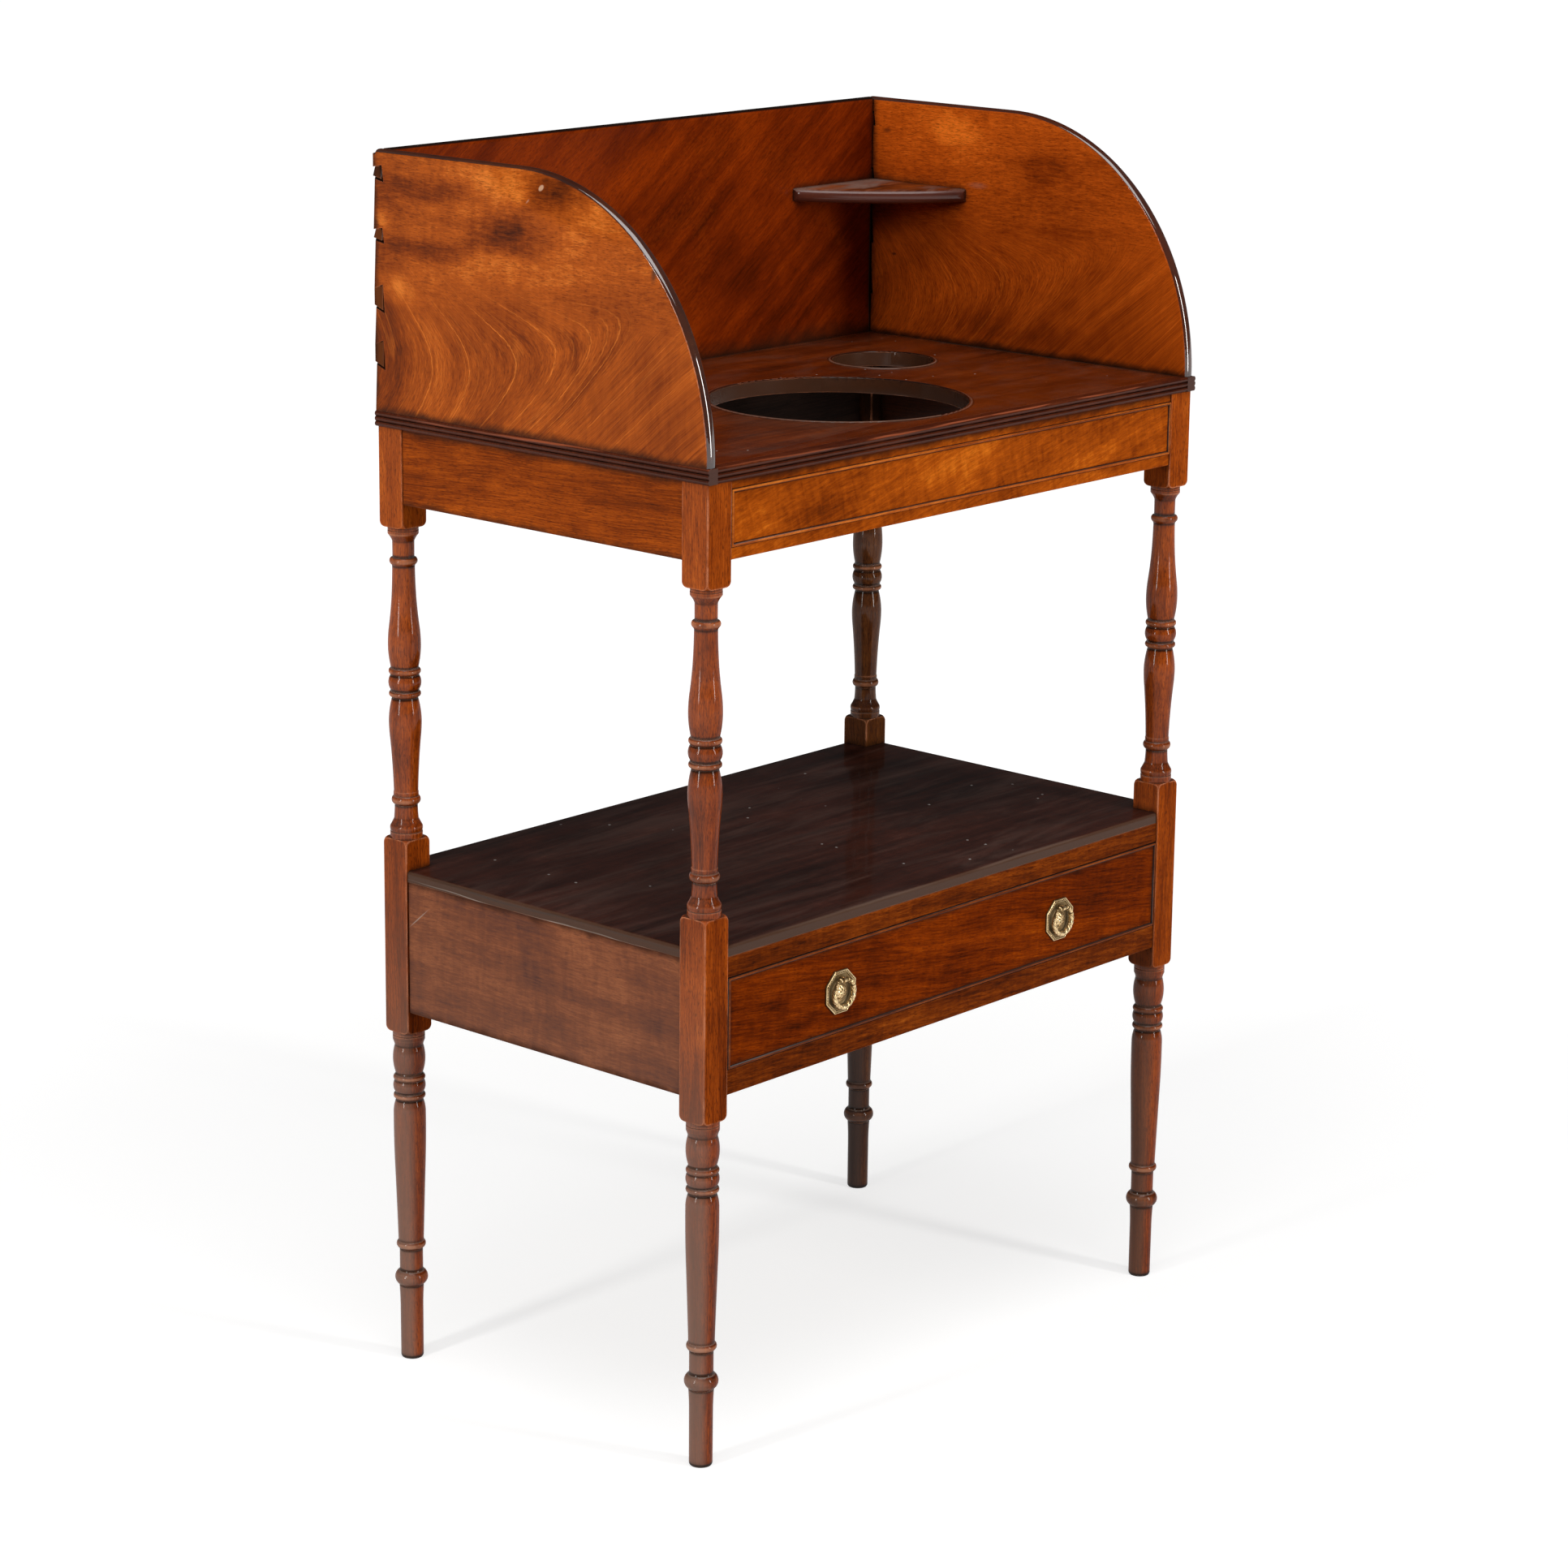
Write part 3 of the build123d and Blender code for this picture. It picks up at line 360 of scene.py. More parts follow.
def mahogany(name, look, box=None):
    material, tree = newMaterial(name)
    place = addNode(tree, "TexCoord").outputs["Object"]
    tone, fibre, dash, veined, share, strayed = figure(tree, place, look)
    hollow = None
    if look["turned"]:
        hollow, turning, lathe = (addNode(tree, "Attribute", attribute_name=kind).outputs["Fac"]
                                  for kind in ("hollow", "turning", "lathe"))
        tone = turnedTone(tree, place, turning, tone, look)
    deep, body, bright, glow = (tuple(c * s for c, s in zip(look[key], look["shade"]))
                                for key in ("deep", "body", "bright", "glow"))
    colour = colourRamp(tree, tone, ((0.0, deep), (0.35, body), (0.70, bright), (1.0, glow)))
    if look["veins"]:
        colour = mixColour(tree, veinShare(tree, place, veined, fibre, share, look), colour, glow)
    colour = mixColour(tree, dash, colour, deep)
    facing = addNode(tree, "NewGeometry").outputs["Normal"]
    level, coat = partAlong(tree, facing, (0, 0, 1)), look["coat"]
    # painted reflection of the pale floor
    if look["floorSheen"]:
        colour = floorSheened(tree, place, facing, colour, look)
    # dirt and painted shade near the board's joints
    if look["edges"]:
        colour = mixColour(tree, edgeGrimeAndShadeShare(tree, place, box, look), colour, look["edgeGrimeAndShadeColour"])
    if look["face"]:
        colour, coat = rimmed(tree, facing, level, colour, look)
    colour = dusted(tree, place, level, colour, look)
    colour = marked(tree, place, strayed, level, colour, look)
    colour, grimeAndShade = worn(tree, place, facing, hollow, colour, look)
    if look["turned"]:
        coat = calc(tree, "MULTIPLY", lathe, coat)
        ledge = calc(tree, "MULTIPLY", levels(tree, level, 0.35, 0.85), levels(tree, hollow, -0.1, 0.4))
        colour = mixColour(tree, calc(tree, "MULTIPLY", ledge, look["ledge"]), colour, look["ledgeColour"])
    dull = calc(tree, "MULTIPLY_ADD", grimeAndShade, look["grimeAndShadeRoughness"], look["roughness"])
    dull = calc(tree, "MULTIPLY_ADD", fibre, look["fibreRoughness"], dull)
    height = calc(tree, "MULTIPLY_ADD", dash, -1.0, calc(tree, "MULTIPLY", fibre, 0.4))
    bump = addNode(tree, "Bump", {"Height": height, "Strength": look["bump"],
                                  "Distance": look["bumpDepth"]})
    finishMaterial(tree, {
        "Base Color": colour, "Roughness": dull, "Specular IOR Level": look["specular"],
        "Specular Tint": (*look["tint"], 1.0), "Coat Weight": coat,
        "Coat Roughness": look["coatRoughness"], "Coat IOR": look["coatIor"], "Normal": bump.outputs[0]})
    return material


# looks of the boards and posts

def spots(axis, level, depth, *rows):
    # patches on a face, each: along, up, half length, half height, degrees of turn and strength,
    # and for a mark its colour and how soft it is
    found = []
    for along, up, length, height, turn, strength, *paint in rows:
        at, size, turns = [along, up], [length, height], [0, 0, 0]
        at.insert(axis, level)
        size.insert(axis, depth)
        turns[axis] = turn
        colour, soft = paint + [None, 0.2][len(paint):]
        found.append({"at": at, "size": size, "turn": turns, "strength": strength, "colour": colour,
                      "soft": soft})
    return found


gallerySwirl = {"y": 0.2302, "z": 0.8603, "rise": -18.56, "bend": 1.77, "round": 0.0784, "skew": 0.304,
                "from": -0.0935, "to": 0.330, "open": 2.172, "close": 5.0, "scale": 0.7,
                "low": 0.895, "high": 0.950, "ragged": 0.06, "raggedSize": 30}
galleryLook = dict(
    mahoganyLook, grain="Y", face="X", tone=0.54, cloud=0.5, stripe=0.80, stripeSize=(6, 45, 45),
    fibre=0.85, fibreSize=(90, 560, 560), swirl=gallerySwirl, veins=0.22,
    veinLines=((0.270, 0.75), (0.317, 0.85), (0.368, 0.85), (0.406, 0.70), (0.438, 0.75),
               (0.452, 0.45), (0.461, 0.70), (0.526, 0.60), (0.613, 0.60)),
    edges=("y+", "z-"), edgeGrimeAndShade=0.9, edgeGrimeAndShadeReach=0.007,
    rimColour=(0.022, 0.007, 0.005), rimCoat=1.0, coatRoughness=0.06, coatIor=1.9)
postLook = dict(
    mahoganyLook, grain="Z", turned=True, tone=0.42, lift=0.16, stripe=0.8, curl=0.1, cloud=0.6,
    fibre=1.15, fibreSize=(34, 700, 700), pores=0.6, shade=(0.95, 0.85, 0.7), specular=0.02,
    wear=1.0, wearReach=0.0022, wearAndHighlightColour=(0.78, 0.30, 0.15), coat=0.30, coatRoughness=0.10,
    # painted light: a lighter patch on the left face of the front left post's lower block
    floorSheen=0.75, floorSheenHigh=0.52, flames=spots(0, -0.2965, 0.004, (-0.16, 0.365, 0.03, 0.07, 0, 0.40)))
darkLook = dict(
    mahoganyLook, face="Z", deep=(0.020, 0.005, 0.003), body=(0.060, 0.011, 0.004),
    bright=(0.110, 0.022, 0.007), glow=(0.18, 0.045, 0.015))
beadLook = dict(
    mahoganyLook, face="Y", pores=0.2, rim=0.9, rimCoat=0.5, coatRoughness=0.2,
    grimeAndShade=1.0, grimeAndShadeReach=0.0020, wear=0.0)
topHoles = ((0, -0.0427, 0.105), (0.1745, 0.0593, 0.043), (-0.1745, 0.0593, 0.043))
# painted shade with dirt in the dark rings at each hole's edge and in the quirk outside its bead; the pale
# ring on the bead's crest is wear and a painted highlight
topRings = ((0.0004, 0.0012, 0.9, (0.008, 0.004, 0.003)), (0.0021, 0.0007, 0.5, (0.26, 0.16, 0.12)),
            (0.0036, 0.0009, 0.6, (0.012, 0.005, 0.003)))
# dust and painted shade: a dark line along the foot of each gallery board where it meets the top
footDustAndShade = (0, 0.85, (0.030, 0.024, 0.020), 0.4)
paleCrack = (0.42, 0.33, 0.27)
wornArris = (0, 0.8, (0.34, 0.085, 0.035), 0.3)

woods = {
    "post": postLook,
    # a darker copy of the post wood for the back right post, partly darker wood and partly painted shade,
    # with a painted shade mark where its upper part shows through the basin
    "postShade": dict(
        postLook, shade=(0.33, 0.50, 1.2), floorSheenColour=(0.075, 0.045, 0.036),
        marks=spots(0, 0.2750, 0.03, (0.150, 0.75, 0.03, 0.09, 0, 0.85, (0.012, 0.007, 0.005)))),
    # the front right post's copy, with a dimmer painted floor reflection for its less lit side
    "postRight": dict(postLook, tone=0.43, floorSheenColour=(0.125, 0.062, 0.038)),
    "galleryLeft": dict(
        galleryLook, shade=(1.02, 1.02, 1.1),
        flames=spots(0, -0.2975, 0.02,
                     (0.052, 0.985, 0.070, 0.024, 8, 0.34), (0.162, 0.947, 0.020, 0.012, 0, 0.40),
                     (0.155, 0.893, 0.036, 0.020, 10, 0.46), (-0.060, 0.966, 0.050, 0.024, -12, 0.30),
                     (-0.160, 0.880, 0.035, 0.035, 0, 0.25), (-0.010, 0.925, 0.100, 0.022, -5, 0.16),
                     (0.036, 0.949, 0.056, 0.028, -12, -0.56), (-0.016, 0.986, 0.040, 0.022, -20, -0.42),
                     (0.120, 0.925, 0.100, 0.018, -8, -0.36), (0.130, 0.972, 0.080, 0.014, 0, -0.32),
                     (-0.045, 0.868, 0.016, 0.030, 0, -0.30), (0.172, 0.850, 0.040, 0.080, 0, -0.30)),
        marks=spots(0, -0.2975, 0.004,
                    (-0.0028, 0.9852, 0.0040, 0.0022, -40, 0.9, (0.62, 0.36, 0.22), 0.6),
                    (0.0118, 0.9735, 0.0035, 0.0010, -45, 0.7, (0.55, 0.30, 0.18)),
                    (-0.1198, 0.9351, 0.0042, 0.0130, 14, 0.8, (0.060, 0.028, 0.016)))),
    "galleryRight": dict(
        # painted light: the raised shade brightens this inner face beyond the left board
        galleryLook, shade=(1.32, 1.10, 0.75), stripe=0.55, curl=0.15, veins=0.15,
        veinLines=((0.270, 0.25), (0.317, 0.30), (0.368, 0.30), (0.438, 0.20)),
        flames=spots(0, 0.2878, 0.02,
                     (0.075, 0.978, 0.055, 0.022, 12, 0.30), (0.120, 0.955, 0.070, 0.018, 0, 0.12),
                     (-0.020, 0.950, 0.060, 0.018, 0, -0.28), (0.160, 0.900, 0.040, 0.050, 0, -0.28),
                     (0.000, 0.810, 0.160, 0.030, 0, -0.28)),
        marks=spots(0, 0.2878, 0.004,
                    (0.1531, 0.9726, 0.006, 0.003, 0, 0.6, (0.03, 0.01, 0.005)),
                    (0.1451, 0.8661, 0.004, 0.002, 0, 0.8, (0.02, 0.008, 0.005)),
                    (0.0511, 0.9339, 0.015, 0.004, 0, 0.4, (0.35, 0.16, 0.11), 0.0))),
    "galleryBack": dict(
        mahoganyLook, face="Y", lean=(0, 37, 0), tone=0.46, curl=0.05, veins=0.10, pores=0.4, fibre=0.6,
        fibreSize=(60, 560, 560), stripe=0.75, shade=(0.62, 0.37, 0.12), edges=("z-", "x+"),
        edgeGrimeAndShadeReach=0.018, rim=0.98, rimColour=(0.006, 0.003, 0.002), rimCoat=0.0,
        flames=spots(1, 0.170, 0.05, (0.16, 0.850, 0.16, 0.07, 0, -0.22),
                     (-0.05, 0.960, 0.20, 0.05, 0, 0.18)),
        # painted shade with dirt: a near-black line down the inner corner where the back meets the right
        # board
        marks=(*spots(1, 0.1704, 0.004, (0.2872, 0.890, 0.0030, 0.13, 0, 0.95, (0.006, 0.004, 0.003), 0.5)),
               *spots(0, -0.2975, 0.002, (0.1735, 0.890, 0.012, 0.12, 0, 0.95, (0.130, 0.034, 0.008), 0.5)),
               *spots(1, 0.1704, 0.004, (0.2858, 0.850, 0.0010, 0.10, 0, 0.45, (0.16, 0.13, 0.11))))),
    "cornerShelf": dict(
        mahoganyLook, face="Z", tone=0.26, pores=0.3, shade=(0.7, 0.8, 1.2), dust=0.95,
        dustColour=(0.20, 0.14, 0.115), rimColour=(0.085, 0.022, 0.014), rimCoat=0.9, coatRoughness=0.2),
    "frieze": dict(
        mahoganyLook, lean=(0, 14, 0), tone=0.56, shade=(1.05, 0.98, 0.5), fibre=0.9,
        fibreSize=(60, 460, 460), pores=0.25, stripe=0.6, curl=0.5, coat=0.0, specular=0.02,
        edges=("x-", "x+", "z+"), edgeGrimeAndShadeReach=0.006,
        flames=spots(1, -0.175, 0.05, (0.010, 0.756, 0.09, 0.030, 0, 0.26),
                     (-0.16, 0.745, 0.07, 0.030, 0, -0.20), (0.16, 0.750, 0.08, 0.030, 0, 0.12))),
    "friezeSide": dict(
        mahoganyLook, grain="Y", lean=(2, 0, 0), cloud=0.6, curl=0.1, shade=(1.02, 0.96, 0.7),
        fibre=1.15, fibreSize=(24, 1000, 1000), edges=("y-", "y+", "z+", "z-"), edgeGrimeAndShadeReach=0.006,
        # painted shade: the inner face of the right side board, seen through the basin, is darkened as if in
        # shade
        marks=spots(0, 0.2835, 0.005, (0, 0.75, 0.4, 0.2, 0, 0.93, (0.010, 0.006, 0.005), 0.5))),
    "caseSide": dict(
        mahoganyLook, grain="Y", tone=0.36, pores=0.35, fibre=0.7, fibreSize=(60, 620, 620), stripe=0.6,
        shade=(0.85, 1.30, 5.0), floorSheen=0.35, floorSheenHigh=0.60, edges=("y-", "y+", "z+", "z-"),
        edgeGrimeAndShadeReach=0.006,
        marks=spots(0, -0.2945, 0.004, (0.141, 0.3855, 0.020, 0.0008, -38, 0.7, paleCrack),
                    (0.1585, 0.360, 0.0007, 0.040, 0, 0.5, paleCrack))),
    "drawer": dict(
        mahoganyLook, lean=(0, -8, 0), tone=0.44, shade=(0.62, 0.44, 0.10), fibre=1.3,
        fibreSize=(34, 620, 620), stripe=0.9, coat=0.0, specular=0.015, edges=("x-", "x+", "z+", "z-"),
        edgeGrimeAndShadeReach=0.007,
        flames=spots(1, -0.173, 0.05, (-0.185, 0.345, 0.040, 0.010, 0, -0.32),
                     (-0.215, 0.362, 0.030, 0.008, 0, -0.30), (-0.130, 0.338, 0.040, 0.008, 0, -0.25),
                     (0.030, 0.365, 0.08, 0.020, 0, 0.14), (0.190, 0.360, 0.08, 0.030, 0, 0.08))),
    "rail": dict(
        mahoganyLook, lean=(0, -3, 0), tone=0.42, shade=(0.61, 0.57, 0.40), fibre=1.4, stripe=0.9,
        coat=0.0, specular=0.02, edges=("x-", "x+"), edgeGrimeAndShadeReach=0.007),
    "top": dict(
        darkLook, shade=(1.35, 1.15, 0.5), fibre=0.7, pores=0.3, stripe=1.0, specular=0.16,
        tint=(1.0, 0.8, 0.7), roughness=0.20, dust=0.25, dustColour=(0.13, 0.075, 0.055), specks=60.0,
        rimColour=(0.058, 0.024, 0.012), rimCoat=0.20, coatRoughness=0.10,
        flames=spots(2, 0.795, 0.05, (0.20, -0.02, 0.10, 0.12, 0, 0.16)),
        rings=[{"at": (x, y), "radius": radius + out, "width": width, "amount": amount, "colour": colour}
               for x, y, radius in topHoles for out, width, amount, colour in topRings],
        marks=spots(2, 0.796, 0.004, (0, 0.1695, 0.32, 0.0028, *footDustAndShade),
                    (0.2870, 0, 0.0028, 0.22, *footDustAndShade), (-0.2870, 0, 0.0028, 0.22, *footDustAndShade))),
    "strip": dict(
        darkLook, coat=0.10, coatRoughness=0.2, rim=0.75, rimReach=(0.30, 0.05), rimCoat=0.35,
        rimColour=(0.066, 0.023, 0.013), floorSheen=0.05, floorSheenLow=0.783, floorSheenHigh=0.80,
        floorSheenColour=(0.20, 0.13, 0.11), wear=0.0, grimeAndShade=1.0, grimeAndShadeReach=0.0022,
        grimeAndShadeColour=(0.005, 0.003, 0.002),
        marks=(*spots(1, -0.1758, 0.0022, (0, 0.7948, 0.40, 0.0011, *wornArris)),
               *spots(0, -0.2982, 0.0022, (0, 0.7944, 0.24, 0.0013, *wornArris)))),
    "shelf": dict(
        mahoganyLook, face="Z", deep=(0.012, 0.004, 0.003), body=(0.031, 0.009, 0.006),
        bright=(0.058, 0.016, 0.010), glow=(0.11, 0.040, 0.028), fibre=0.9, stripe=1.1, coat=0.20,
        coatRoughness=0.07, specular=0.03, tint=(1.0, 0.8, 0.7), dust=0.42, dustSize=(5, 34, 14),
        dustColour=(0.125, 0.070, 0.055), specks=42.0, rim=0.85, rimReach=(0.97, 0.70),
        rimColour=(0.088, 0.043, 0.026), rimCoat=0.0,
        flames=spots(2, 0.4235, 0.05, (0.20, 0.02, 0.12, 0.20, 0, -0.30)),
        marks=(*spots(0, -0.2953, 0.003, (0, 0.4150, 0.20, 0.0008, 0, 0.7, (0.40, 0.32, 0.27))),
               *spots(1, -0.1725, 0.0030, (0, 0.4228, 0.34, 0.0022, 0, 0.6, (0.17, 0.115, 0.088), 0.0)),
               *spots(0, -0.2953, 0.003, (0, 0.4205, 0.20, 0.0016, 0, 0.6, (0.05, 0.035, 0.028))))),
    "bead": dict(
        beadLook, tone=0.80, rimReach=(0.80, 0.45), rimColour=(0.045, 0.032, 0.028),
        grimeAndShadeColour=(0.008, 0.004, 0.002)),
    "drawerBead": dict(
        beadLook, tone=0.42, rimReach=(0.93, 0.60), rimColour=(0.040, 0.026, 0.022),
        grimeAndShadeColour=(0.006, 0.003, 0.002), shade=(0.8, 0.9, 1.5)),
}


# bare wood and brass

bareLook = {
    "ringSize": (4, 90, 90), "fibreSize": (30, 900, 900), "stainSize": (12, 12, 12),
    "rings": 0.7, "fibres": 0.6, "stain": 0.5, "roughness": 0.75, "bump": 0.4, "bumpDepth": 0.0004,
}


def bareWood(name, pale, deep, grain, shine, look=bareLook):
    material, tree = newMaterial(name)
    place = addNode(tree, "TexCoord").outputs["Object"]
    board = boardPlace(tree, place, dict(mahoganyLook, grain=grain))[0]
    rings = grainNoise(tree, board, look["ringSize"], detail=4.0, twist=0.3)
    fibres = grainNoise(tree, board, look["fibreSize"], detail=3.0)
    stain = grainNoise(tree, place, look["stainSize"], detail=4.0)
    tone = calc(tree, "MULTIPLY_ADD", fibres, look["fibres"], calc(tree, "MULTIPLY", rings, look["rings"]))
    colour = colourRamp(tree, tone, ((0.40, deep), (0.75, pale)))
    colour = mixColour(tree, levels(tree, stain, 0.45, 0.75, 0.0, look["stain"]), colour, deep)
    bump = addNode(tree, "Bump", {"Height": fibres, "Strength": look["bump"],
                                  "Distance": look["bumpDepth"]})
    finishMaterial(tree, {"Base Color": colour, "Roughness": look["roughness"],
                          "Normal": bump.outputs[0], "Specular IOR Level": shine})
    return material


oakPale, oakDark = (0.42, 0.27, 0.14), (0.22, 0.13, 0.06)
pinePale, pineDark = (0.45, 0.26, 0.125), (0.26, 0.13, 0.06)
oakAlong = bareWood("oakAlong", oakPale, oakDark, "X", 0.3)
oakDeep = bareWood("oakDeep", oakPale, oakDark, "Y", 0.3)
pine = bareWood("pine", pinePale, pineDark, "X", 0.1)
pineDeep = bareWood("pineDeep", pinePale, pineDark, "Y", 0.1)
darkPine = bareWood("darkPine", (0.024, 0.012, 0.008), (0.007, 0.004, 0.003), "X", 0.05)

brassLook = {
    "pale": (0.80, 0.60, 0.34), "deep": (0.50, 0.33, 0.15), "patchSize": (260, 260, 260),
    "grimeAndShadeColour": (0.105, 0.060, 0.014), "nearReach": 0.0012, "wideReach": 0.005,
    "polish": 0.27, "grimeAndShadeRoughness": 0.35, "metal": 0.9, "specular": 0.3,
}


def agedBrass(name, look):
    material, tree = newMaterial(name)
    place = addNode(tree, "TexCoord").outputs["Object"]
    patch = grainNoise(tree, place, look["patchSize"], detail=4.0)
    colour = colourRamp(tree, patch, ((0.30, look["deep"]), (0.70, look["pale"])))
    # painted shade with dirt: ambient occlusion darkens the brass in its creases and under the ring; the
    # patina attribute is the casting's own brown in its hollows
    near, wide = (addNode(tree, "AmbientOcclusion", {"Distance": look[reach]}, samples=8).outputs["AO"]
                  for reach in ("nearReach", "wideReach"))
    hollow = addNode(tree, "Attribute", attribute_name="patina").outputs["Fac"]
    grimeAndShade = calc(tree, "MAXIMUM", levels(tree, near, 0.92, 0.45, 0.0, 0.95),
                 levels(tree, wide, 0.75, 0.25, 0.0, 0.90))
    grimeAndShade = calc(tree, "MAXIMUM", grimeAndShade, levels(tree, hollow, 0.30, 1.0, 0.0, 0.92))
    colour = mixColour(tree, grimeAndShade, colour, look["grimeAndShadeColour"])
    dull = calc(tree, "MULTIPLY_ADD", grimeAndShade, look["grimeAndShadeRoughness"], look["polish"])
    finishMaterial(tree, {"Base Color": colour, "Roughness": dull, "Metallic": look["metal"],
                          "Specular IOR Level": look["specular"]})
    return material


brass = agedBrass("agedBrass", brassLook)
print("materials ready")


# wood pieces

def addPiece(name, mesh, material, body, replaced):
    piece = bpy.data.objects.new(name, mesh)
    bpy.context.scene.collection.objects.link(piece)
    mesh.materials.clear()
    mesh.materials.append(material)
    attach(piece, body)
    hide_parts(replaced)
    return piece


def smoothMesh(shape, mesh, angle):
    shape.to_mesh(mesh)
    shape.free()
    mesh.shade_smooth()
    mesh.set_sharp_from_angle(angle=angle)


boardSizes = {"merge": 2e-6, "flat": radians(0.4), "corner": radians(40), "smooth": radians(32),
              "segments": 3}
shelfRim = {"radius": 0.0032, "above": 0.4230, "upward": 0.5, "segments": 5}
galleryNose = {
    "depth": 0.0030, "edgeRound": 0.0016, "cuts": 7, "foot": 0.80,
    "merge": 1e-7, "centred": 1e-5,    # how near points count as one, and as on the middle plane
    "upward": 0.5, "ahead": -0.02,     # which way the rim's points look
    "below": 0.01, "reach": 1.02,      # how far the front edge runs on, and the nose goes inward
}


def rimShare(edge, share, sizes):
    # the upper rim is rounded far more than the other arrises
    middle = (edge.verts[0].co + edge.verts[1].co) / 2
    rising = any(face.normal.z > sizes["upward"] for face in edge.link_faces)
    return 1.0 if rising and middle.z >= sizes["above"] else share


def flattened(vector, axis):
    flat = vector.copy()
    flat[axis] = 0
    return flat


def rimLines(shape, axis, middle, sizes):
    # the rim along the middle of the board as lines, each end with the way that it looks
    lines = []
    for edge in shape.edges:
        if any(abs(vert.co[axis] - middle) > sizes["centred"] or vert.co.z < sizes["foot"]
               for vert in edge.verts):
            continue
        ends = [(flattened(vert.co, axis), flattened(vert.normal, axis).normalized()) for vert in edge.verts]
        if all(way.z > sizes["upward"] or (axis == 0 and way.y < sizes["ahead"]) for at, way in ends):
            lines.append(ends)
    if axis == 0:
        foot, way = min((end for line in lines for end in line), key=lambda end: end[0].z)
        forward = Vector((0, -1, 0))
        lines.append([(foot, forward), (foot + Vector((0, 0, -sizes["below"])), forward)])
    return lines


def nearestRim(flat, lines):
    # how far the rim is, the way that it looks there, and how far outward it lies
    best = None
    for (start, startWay), (end, endWay) in lines:
        part = min(1.0, max(0.0, intersect_point_line(flat, start, end)[1]))
        away = start.lerp(end, part) - flat
        if best is None or away.length < best[0]:
            way = startWay.lerp(endWay, part).normalized()
            best = away.length, way, away.dot(way)
    return best


def roundNose(shape, axis, sizes):
    # turns the eased square rim of a gallery board into a full round nose across its thickness
    across = [vert.co[axis] for vert in shape.verts]
    low, high = min(across), max(across)
    middle, half = (low + high) / 2, (high - low) / 2
    normal = [float(i == axis) for i in range(3)]
    band = (half - sizes["edgeRound"]) * 2
    for cut in range(1, sizes["cuts"] + 1):
        at = [0, 0, 0]
        at[axis] = low + sizes["edgeRound"] + band * cut / (sizes["cuts"] + 1)
        bmesh.ops.bisect_plane(shape, geom=shape.verts[:] + shape.edges[:] + shape.faces[:],
                               plane_co=at, plane_no=normal, dist=sizes["merge"])
    shape.normal_update()
    lines = rimLines(shape, axis, middle, sizes)
    moves = []
    for vert in shape.verts:
        distance, way, outward = nearestRim(flattened(vert.co, axis), lines)
        if distance < sizes["edgeRound"] * sizes["reach"]:
            share = min(1.0, abs(vert.co[axis] - middle) / half)
            inset = sizes["depth"] * (1 - sqrt(max(0.0, 1 - share * share)))
            moves.append((vert, way * min(0.0, outward - inset)))
    for vert, move in moves:
        vert.co += move


def easedBoard(node, material, ease, body, sizes, rim=None):
    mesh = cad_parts[node].data.copy()
    shape = bmesh.new()
    shape.from_mesh(mesh)
    bmesh.ops.remove_doubles(shape, verts=shape.verts, dist=sizes["merge"])
    bmesh.ops.dissolve_limit(shape, angle_limit=sizes["flat"], verts=shape.verts, edges=shape.edges)
    if node.startswith("gallery"):
        roundNose(shape, 1 if node == "gallery_back" else 0, galleryNose)
    if rim:
        shape.normal_update()
        weights = shape.edges.layers.float.new("bevel_weight_edge")
        for edge in shape.edges:
            if len(edge.link_faces) == 2 and edge.calc_face_angle() > sizes["corner"]:
                edge[weights] = rimShare(edge, ease / rim["radius"], rim)
    smoothMesh(shape, mesh, sizes["smooth"])
    piece = addPiece(node + "_wood", mesh, material, body, node)
    if ease:
        bevel = piece.modifiers.new("ease", "BEVEL")
        bevel.width = rim["radius"] if rim else ease
        bevel.segments = (rim or sizes)["segments"]
        bevel.limit_method = "WEIGHT" if rim else "ANGLE"
        bevel.angle_limit = sizes["corner"]
        bevel.harden_normals = True
        bevel.use_clamp_overlap = True


boards = (
    # wood, eased arris, body, slot and nodes
    ("galleryLeft", 0.0005, "stand", "mahogany_gallery", "gallery_side_left"),
    ("galleryRight", 0.0005, "stand", "mahogany_gallery", "gallery_side_right"),
    ("galleryBack", 0.0005, "stand", "mahogany_gallery", "gallery_back"),
    ("cornerShelf", 0.0005, "stand", "mahogany_top", "corner_shelf_left", "corner_shelf_right"),
    ("top", 0.0005, "stand", "mahogany_top", "top_board"),
    ("strip", 0, "stand", "mahogany_top", "top_strip_front", "top_strip_left", "top_strip_right"),
    ("frieze", 0.0005, "stand", "mahogany_frieze", "frieze_front"),
    (darkPine, 0.0005, "stand", "pine_blocks", "frieze_back"),
    ("friezeSide", 0.0005, "stand", "mahogany_frieze", "frieze_side_left", "frieze_side_right"),
    ("bead", 0, "stand", "mahogany_beads", "frieze_beads"),
    ("shelf", 0.0004, "stand", "mahogany_shelf", "shelf_board"),
    ("caseSide", 0.0005, "stand", "mahogany_frieze", "case_side_left", "case_side_right"),
    (pine, 0.0005, "stand", "pine_blocks", "case_back"),
    ("rail", 0.0005, "stand", "mahogany_frieze", "drawer_rail_lower", "drawer_rail_upper"),
    ("drawer", 0.0004, "drawer", "mahogany_frieze", "drawer_front"),
    ("drawerBead", 0, "drawer", "mahogany_beads", "drawer_beads"),
    (oakDeep, 0.0004, "drawer", "oak_linings", "drawer_side_left", "drawer_side_right"),
    (oakAlong, 0.0004, "drawer", "oak_linings", "drawer_back"),
    (oakDeep, 0, "drawer", "oak_linings", "drawer_bottom"),
)
cutStep = (0.37, 0.23, 0.41)   # each board is another cut of the timber
single = [(node, row[:4]) for row in boards for node in row[4:]]
